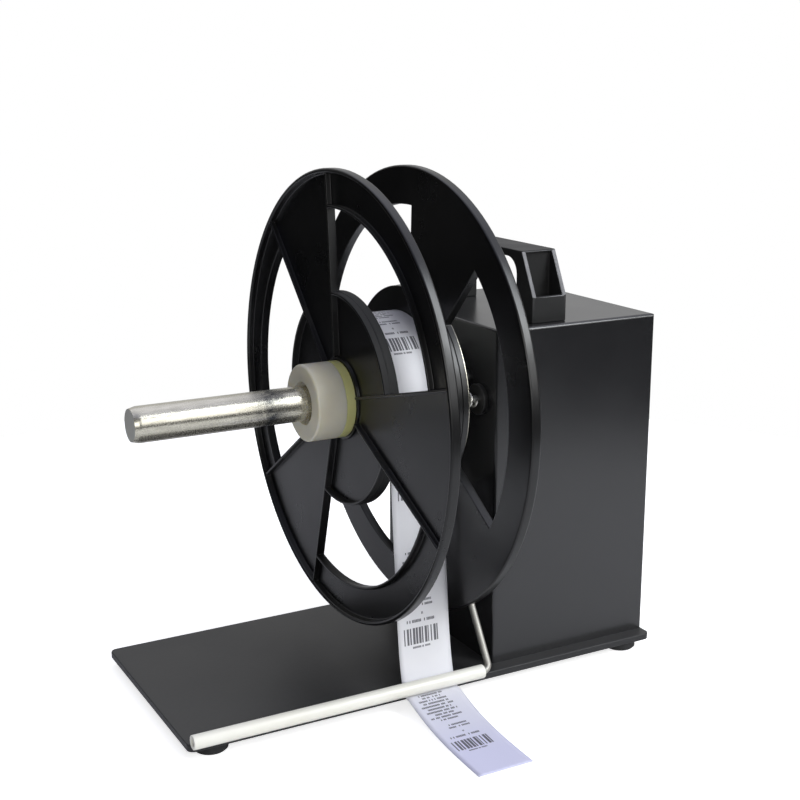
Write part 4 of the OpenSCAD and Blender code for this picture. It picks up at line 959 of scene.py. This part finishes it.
for name, first_spoke, facing_x in (("front_flange", 65.5, -1), ("rear_flange", 112.3, 1)):
    low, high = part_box(name)
    face_x = low.x if facing_x < 0 else high.x
    out = Vector((facing_x, 0, 0))
    spots = []
    for spoke in (first_spoke, first_spoke + 120, first_spoke + 240):
        radius, turn = SPOKE_MARK
        spots.append((on_reel(face_x - facing_x * PANEL_DEPTH, radius, spoke - turn * facing_x), out))
        for radius, turn in HUB_MARKS:
            spots.append((on_reel(face_x - facing_x * HUB_DEPTH, radius, spoke + 60 - turn * facing_x), out))
    marks = set_on_points(name + "_marks", mark_ring(), spots, FINISH["flange_plastic"], True)
    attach(marks, body_of(name))
    print(marks.name, len(spots), "marks")

# %% [markdown]
# The wound roll is a soft form. Its outside is one turn of tape that climbs by the tape's thickness
# until the free strip leaves it at the front. Its sides show the edges of the many turns below as fine
# rings, so the side faces are cut into rings with a small wave in height. V in the UV map counts
# backwards from where the strip leaves. Half the height of such a turn is half a thickness less than its
# radius there, so that half is added to the solid's.

# %% The wound roll
TAPE = 0.0004
ROLL_R = radius_of("label_roll") + TAPE / 2
CORE_R = radius_of("paper_core")
ROLL_X0, ROLL_X1 = ROLL_LOW.x, ROLL_HIGH.x
TURN_STEPS, LAYERS = 240, 9
LAYER_WAVE, CORE_GAP = 0.00006, 0.00002
LEAVES_AT, LEAVES_V = 180, 0.0025
BARE_SPOT = (0.0, 0.02)


def roll_points(shape):
    """The roll's points by side, step round the turn and ring from core to outside."""
    made = {}
    for side, x in ((0, ROLL_X0), (1, ROLL_X1)):
        for k in range(TURN_STEPS + 1):
            share = k / TURN_STEPS
            outer = ROLL_R - TAPE * (1 - share)
            for ring in range(LAYERS + 1):
                r = CORE_R + CORE_GAP + (outer - CORE_R - CORE_GAP) * ring / LAYERS
                wave = LAYER_WAVE * (ring % 2) * (1 if side == 0 else -1)
                made[side, k, ring] = shape.verts.new(on_reel(x + wave, r, LEAVES_AT + 360 * share))
    return made


def wound_roll():
    shape = bmesh.new()
    uv = shape.loops.layers.uv.new("tape")
    p = roll_points(shape)
    for k in range(TURN_STEPS):
        for ring in range(LAYERS):
            for side in (0, 1):
                quad = (p[side, k, ring], p[side, k + 1, ring],
                        p[side, k + 1, ring + 1], p[side, k, ring + 1])
                shape.faces.new(quad if side == 1 else quad[::-1])
        for ring in (0, LAYERS):
            quad = (p[0, k, ring], p[0, k + 1, ring], p[1, k + 1, ring], p[1, k, ring])
            face = shape.faces.new(quad if ring == 0 else quad[::-1])
            if ring == LAYERS:
                face.smooth = True
                for loop in face.loops:
                    at = k if loop.vert in (p[0, k, ring], p[1, k, ring]) else k + 1
                    back = (at / TURN_STEPS - 1) * 2 * math.pi * ROLL_R
                    loop[uv].uv = (loop.vert.co.x - ROLL_X0, back + LEAVES_V)
    for ring in range(LAYERS):
        shape.faces.new((p[0, 0, ring], p[1, 0, ring], p[1, 0, ring + 1], p[0, 0, ring + 1]))
        shape.faces.new((p[0, TURN_STEPS, ring], p[0, TURN_STEPS, ring + 1],
                         p[1, TURN_STEPS, ring + 1], p[1, TURN_STEPS, ring]))
    for face in shape.faces:
        if not face.smooth:
            for loop in face.loops:
                loop[uv].uv = BARE_SPOT
    return to_mesh(shape, "wound_tape")


roll = put("wound_tape", wound_roll())
roll.data.materials.append(FINISH["label_paper"])
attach(roll, "spindle")
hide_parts("label_roll")
print("roll radius", round(ROLL_R * 1000, 2), "mm")

# %% [markdown]
# The free strip is a sheet: it hangs from the roll, bends under the sleeve, drops over the base plate's
# edge and lies on the table. Its path repeats the solid's own curve: a hanging bend, a quarter turn
# under the sleeve and a tail that settles on the table. Each bend is pulled by a few control points.

# %% The path of the free strip
GAP, SLEEVE_GAP = 0.0003, 0.00035
BOW_OUT, BOW_UP = 0.001, 0.042
LEAD_OUT, LEAD_DOWN = 0.016, 0.0015
DROP_OUT, DROP_TO = 0.020, -0.0006
END_INSET = 0.00003
HANG_STEPS, WRAP_STEPS, TAIL_STEPS = 60, 12, 80


def bend(points, t):
    """A point on the curve that a control polygon pulls, by repeated division of its legs."""
    while len(points) > 1:
        points = [a.lerp(b, t) for a, b in zip(points, points[1:])]
    return points[0]


def strip_path():
    """Points of the strip's middle in the plane of Y and Z, and the lowest point under the sleeve."""
    wrap = radius_of("guide_sleeve") + SLEEVE_GAP + TAPE / 2
    top = Vector((AXIS.y - ROLL_R - GAP - TAPE / 2, AXIS.z))
    bow = Vector((top.x - BOW_OUT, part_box("base_plate")[1].z + BOW_UP))
    middle = Vector((SLEEVE.y, SLEEVE.z))
    behind = middle + Vector((wrap, 0))
    below = middle - Vector((0, wrap))
    lead = Vector((SLEEVE.y - LEAD_OUT, below.y - LEAD_DOWN))
    drop = Vector((SLEEVE.y - DROP_OUT, DROP_TO))
    end = Vector((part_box("label_strip")[0].y + END_INSET, GAP + TAPE / 2))
    path = [bend([top, bow, behind], k / HANG_STEPS) for k in range(HANG_STEPS + 1)]
    for k in range(1, WRAP_STEPS + 1):
        angle = -math.pi / 2 * k / WRAP_STEPS
        path.append(middle + wrap * Vector((math.cos(angle), math.sin(angle))))
    path += [bend([below, lead, drop, end], k / TAIL_STEPS) for k in range(1, TAIL_STEPS + 1)]
    return path, below


STRIP_PATH, UNDER_SLEEVE = strip_path()
print("strip path:", len(STRIP_PATH), "points")

# %% [markdown]
# The sheet is swept along that path. Below the hub it drifts a little sideways, as paper under no
# tension does, and the tail carries the drift on. The Solidify modifier then gives it the paper's
# thickness. A cloth simulation would find a similar curve, but it would not meet the sleeve and the
# table as surely.

# %% The free strip
TAPE_W = ROLL_X1 - ROLL_X0
PAPER_THICK = 0.0002
HUB_D, FLANGE_D = 123, 260
DRIFT_BELOW_HUB, HANG_DRIFT, TAIL_DRIFT = 0.010, 0.006, 0.002
ACROSS = 10


def free_strip(path, below):
    drift_from = AXIS.z - radius_of("front_flange") * HUB_D / FLANGE_D - DRIFT_BELOW_HUB
    shape = bmesh.new()
    uv = shape.loops.layers.uv.new("tape")
    rows, lengths, run = [], [], 0.0
    for k, p in enumerate(path):
        run += (p - path[k - 1]).length if k else 0.0
        lengths.append(run)
        hang = max(0.0, (drift_from - max(p.y, below.y)) / (drift_from - below.y))
        tail = max(0.0, (SLEEVE.y - p.x) / (SLEEVE.y - path[-1].x))
        left = ROLL_X0 - HANG_DRIFT * hang ** 2 - TAIL_DRIFT * tail
        rows.append([shape.verts.new((left + TAPE_W * j / ACROSS, p.x, p.y)) for j in range(ACROSS + 1)])
    for k in range(len(rows) - 1):
        for j in range(ACROSS):
            corners = ((k, j), (k + 1, j), (k + 1, j + 1), (k, j + 1))
            face = shape.faces.new([rows[step][place] for step, place in corners])
            face.smooth = True
            for loop, (step, place) in zip(face.loops, corners):
                loop[uv].uv = (TAPE_W * place / ACROSS, lengths[step])
    return to_mesh(shape, "free_tape"), run


strip_mesh, STRIP_L = free_strip(STRIP_PATH, UNDER_SLEEVE)
strip = put("free_tape", strip_mesh)
strip_mesh.materials.append(FINISH["label_paper"])
thick = strip.modifiers.new("thickness", "SOLIDIFY")
thick.thickness = PAPER_THICK
thick.offset = 0.0
keep_mesh(strip)
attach(strip, "frame")
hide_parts("label_strip")
print("strip", round(STRIP_L * 1000, 1), "mm long")
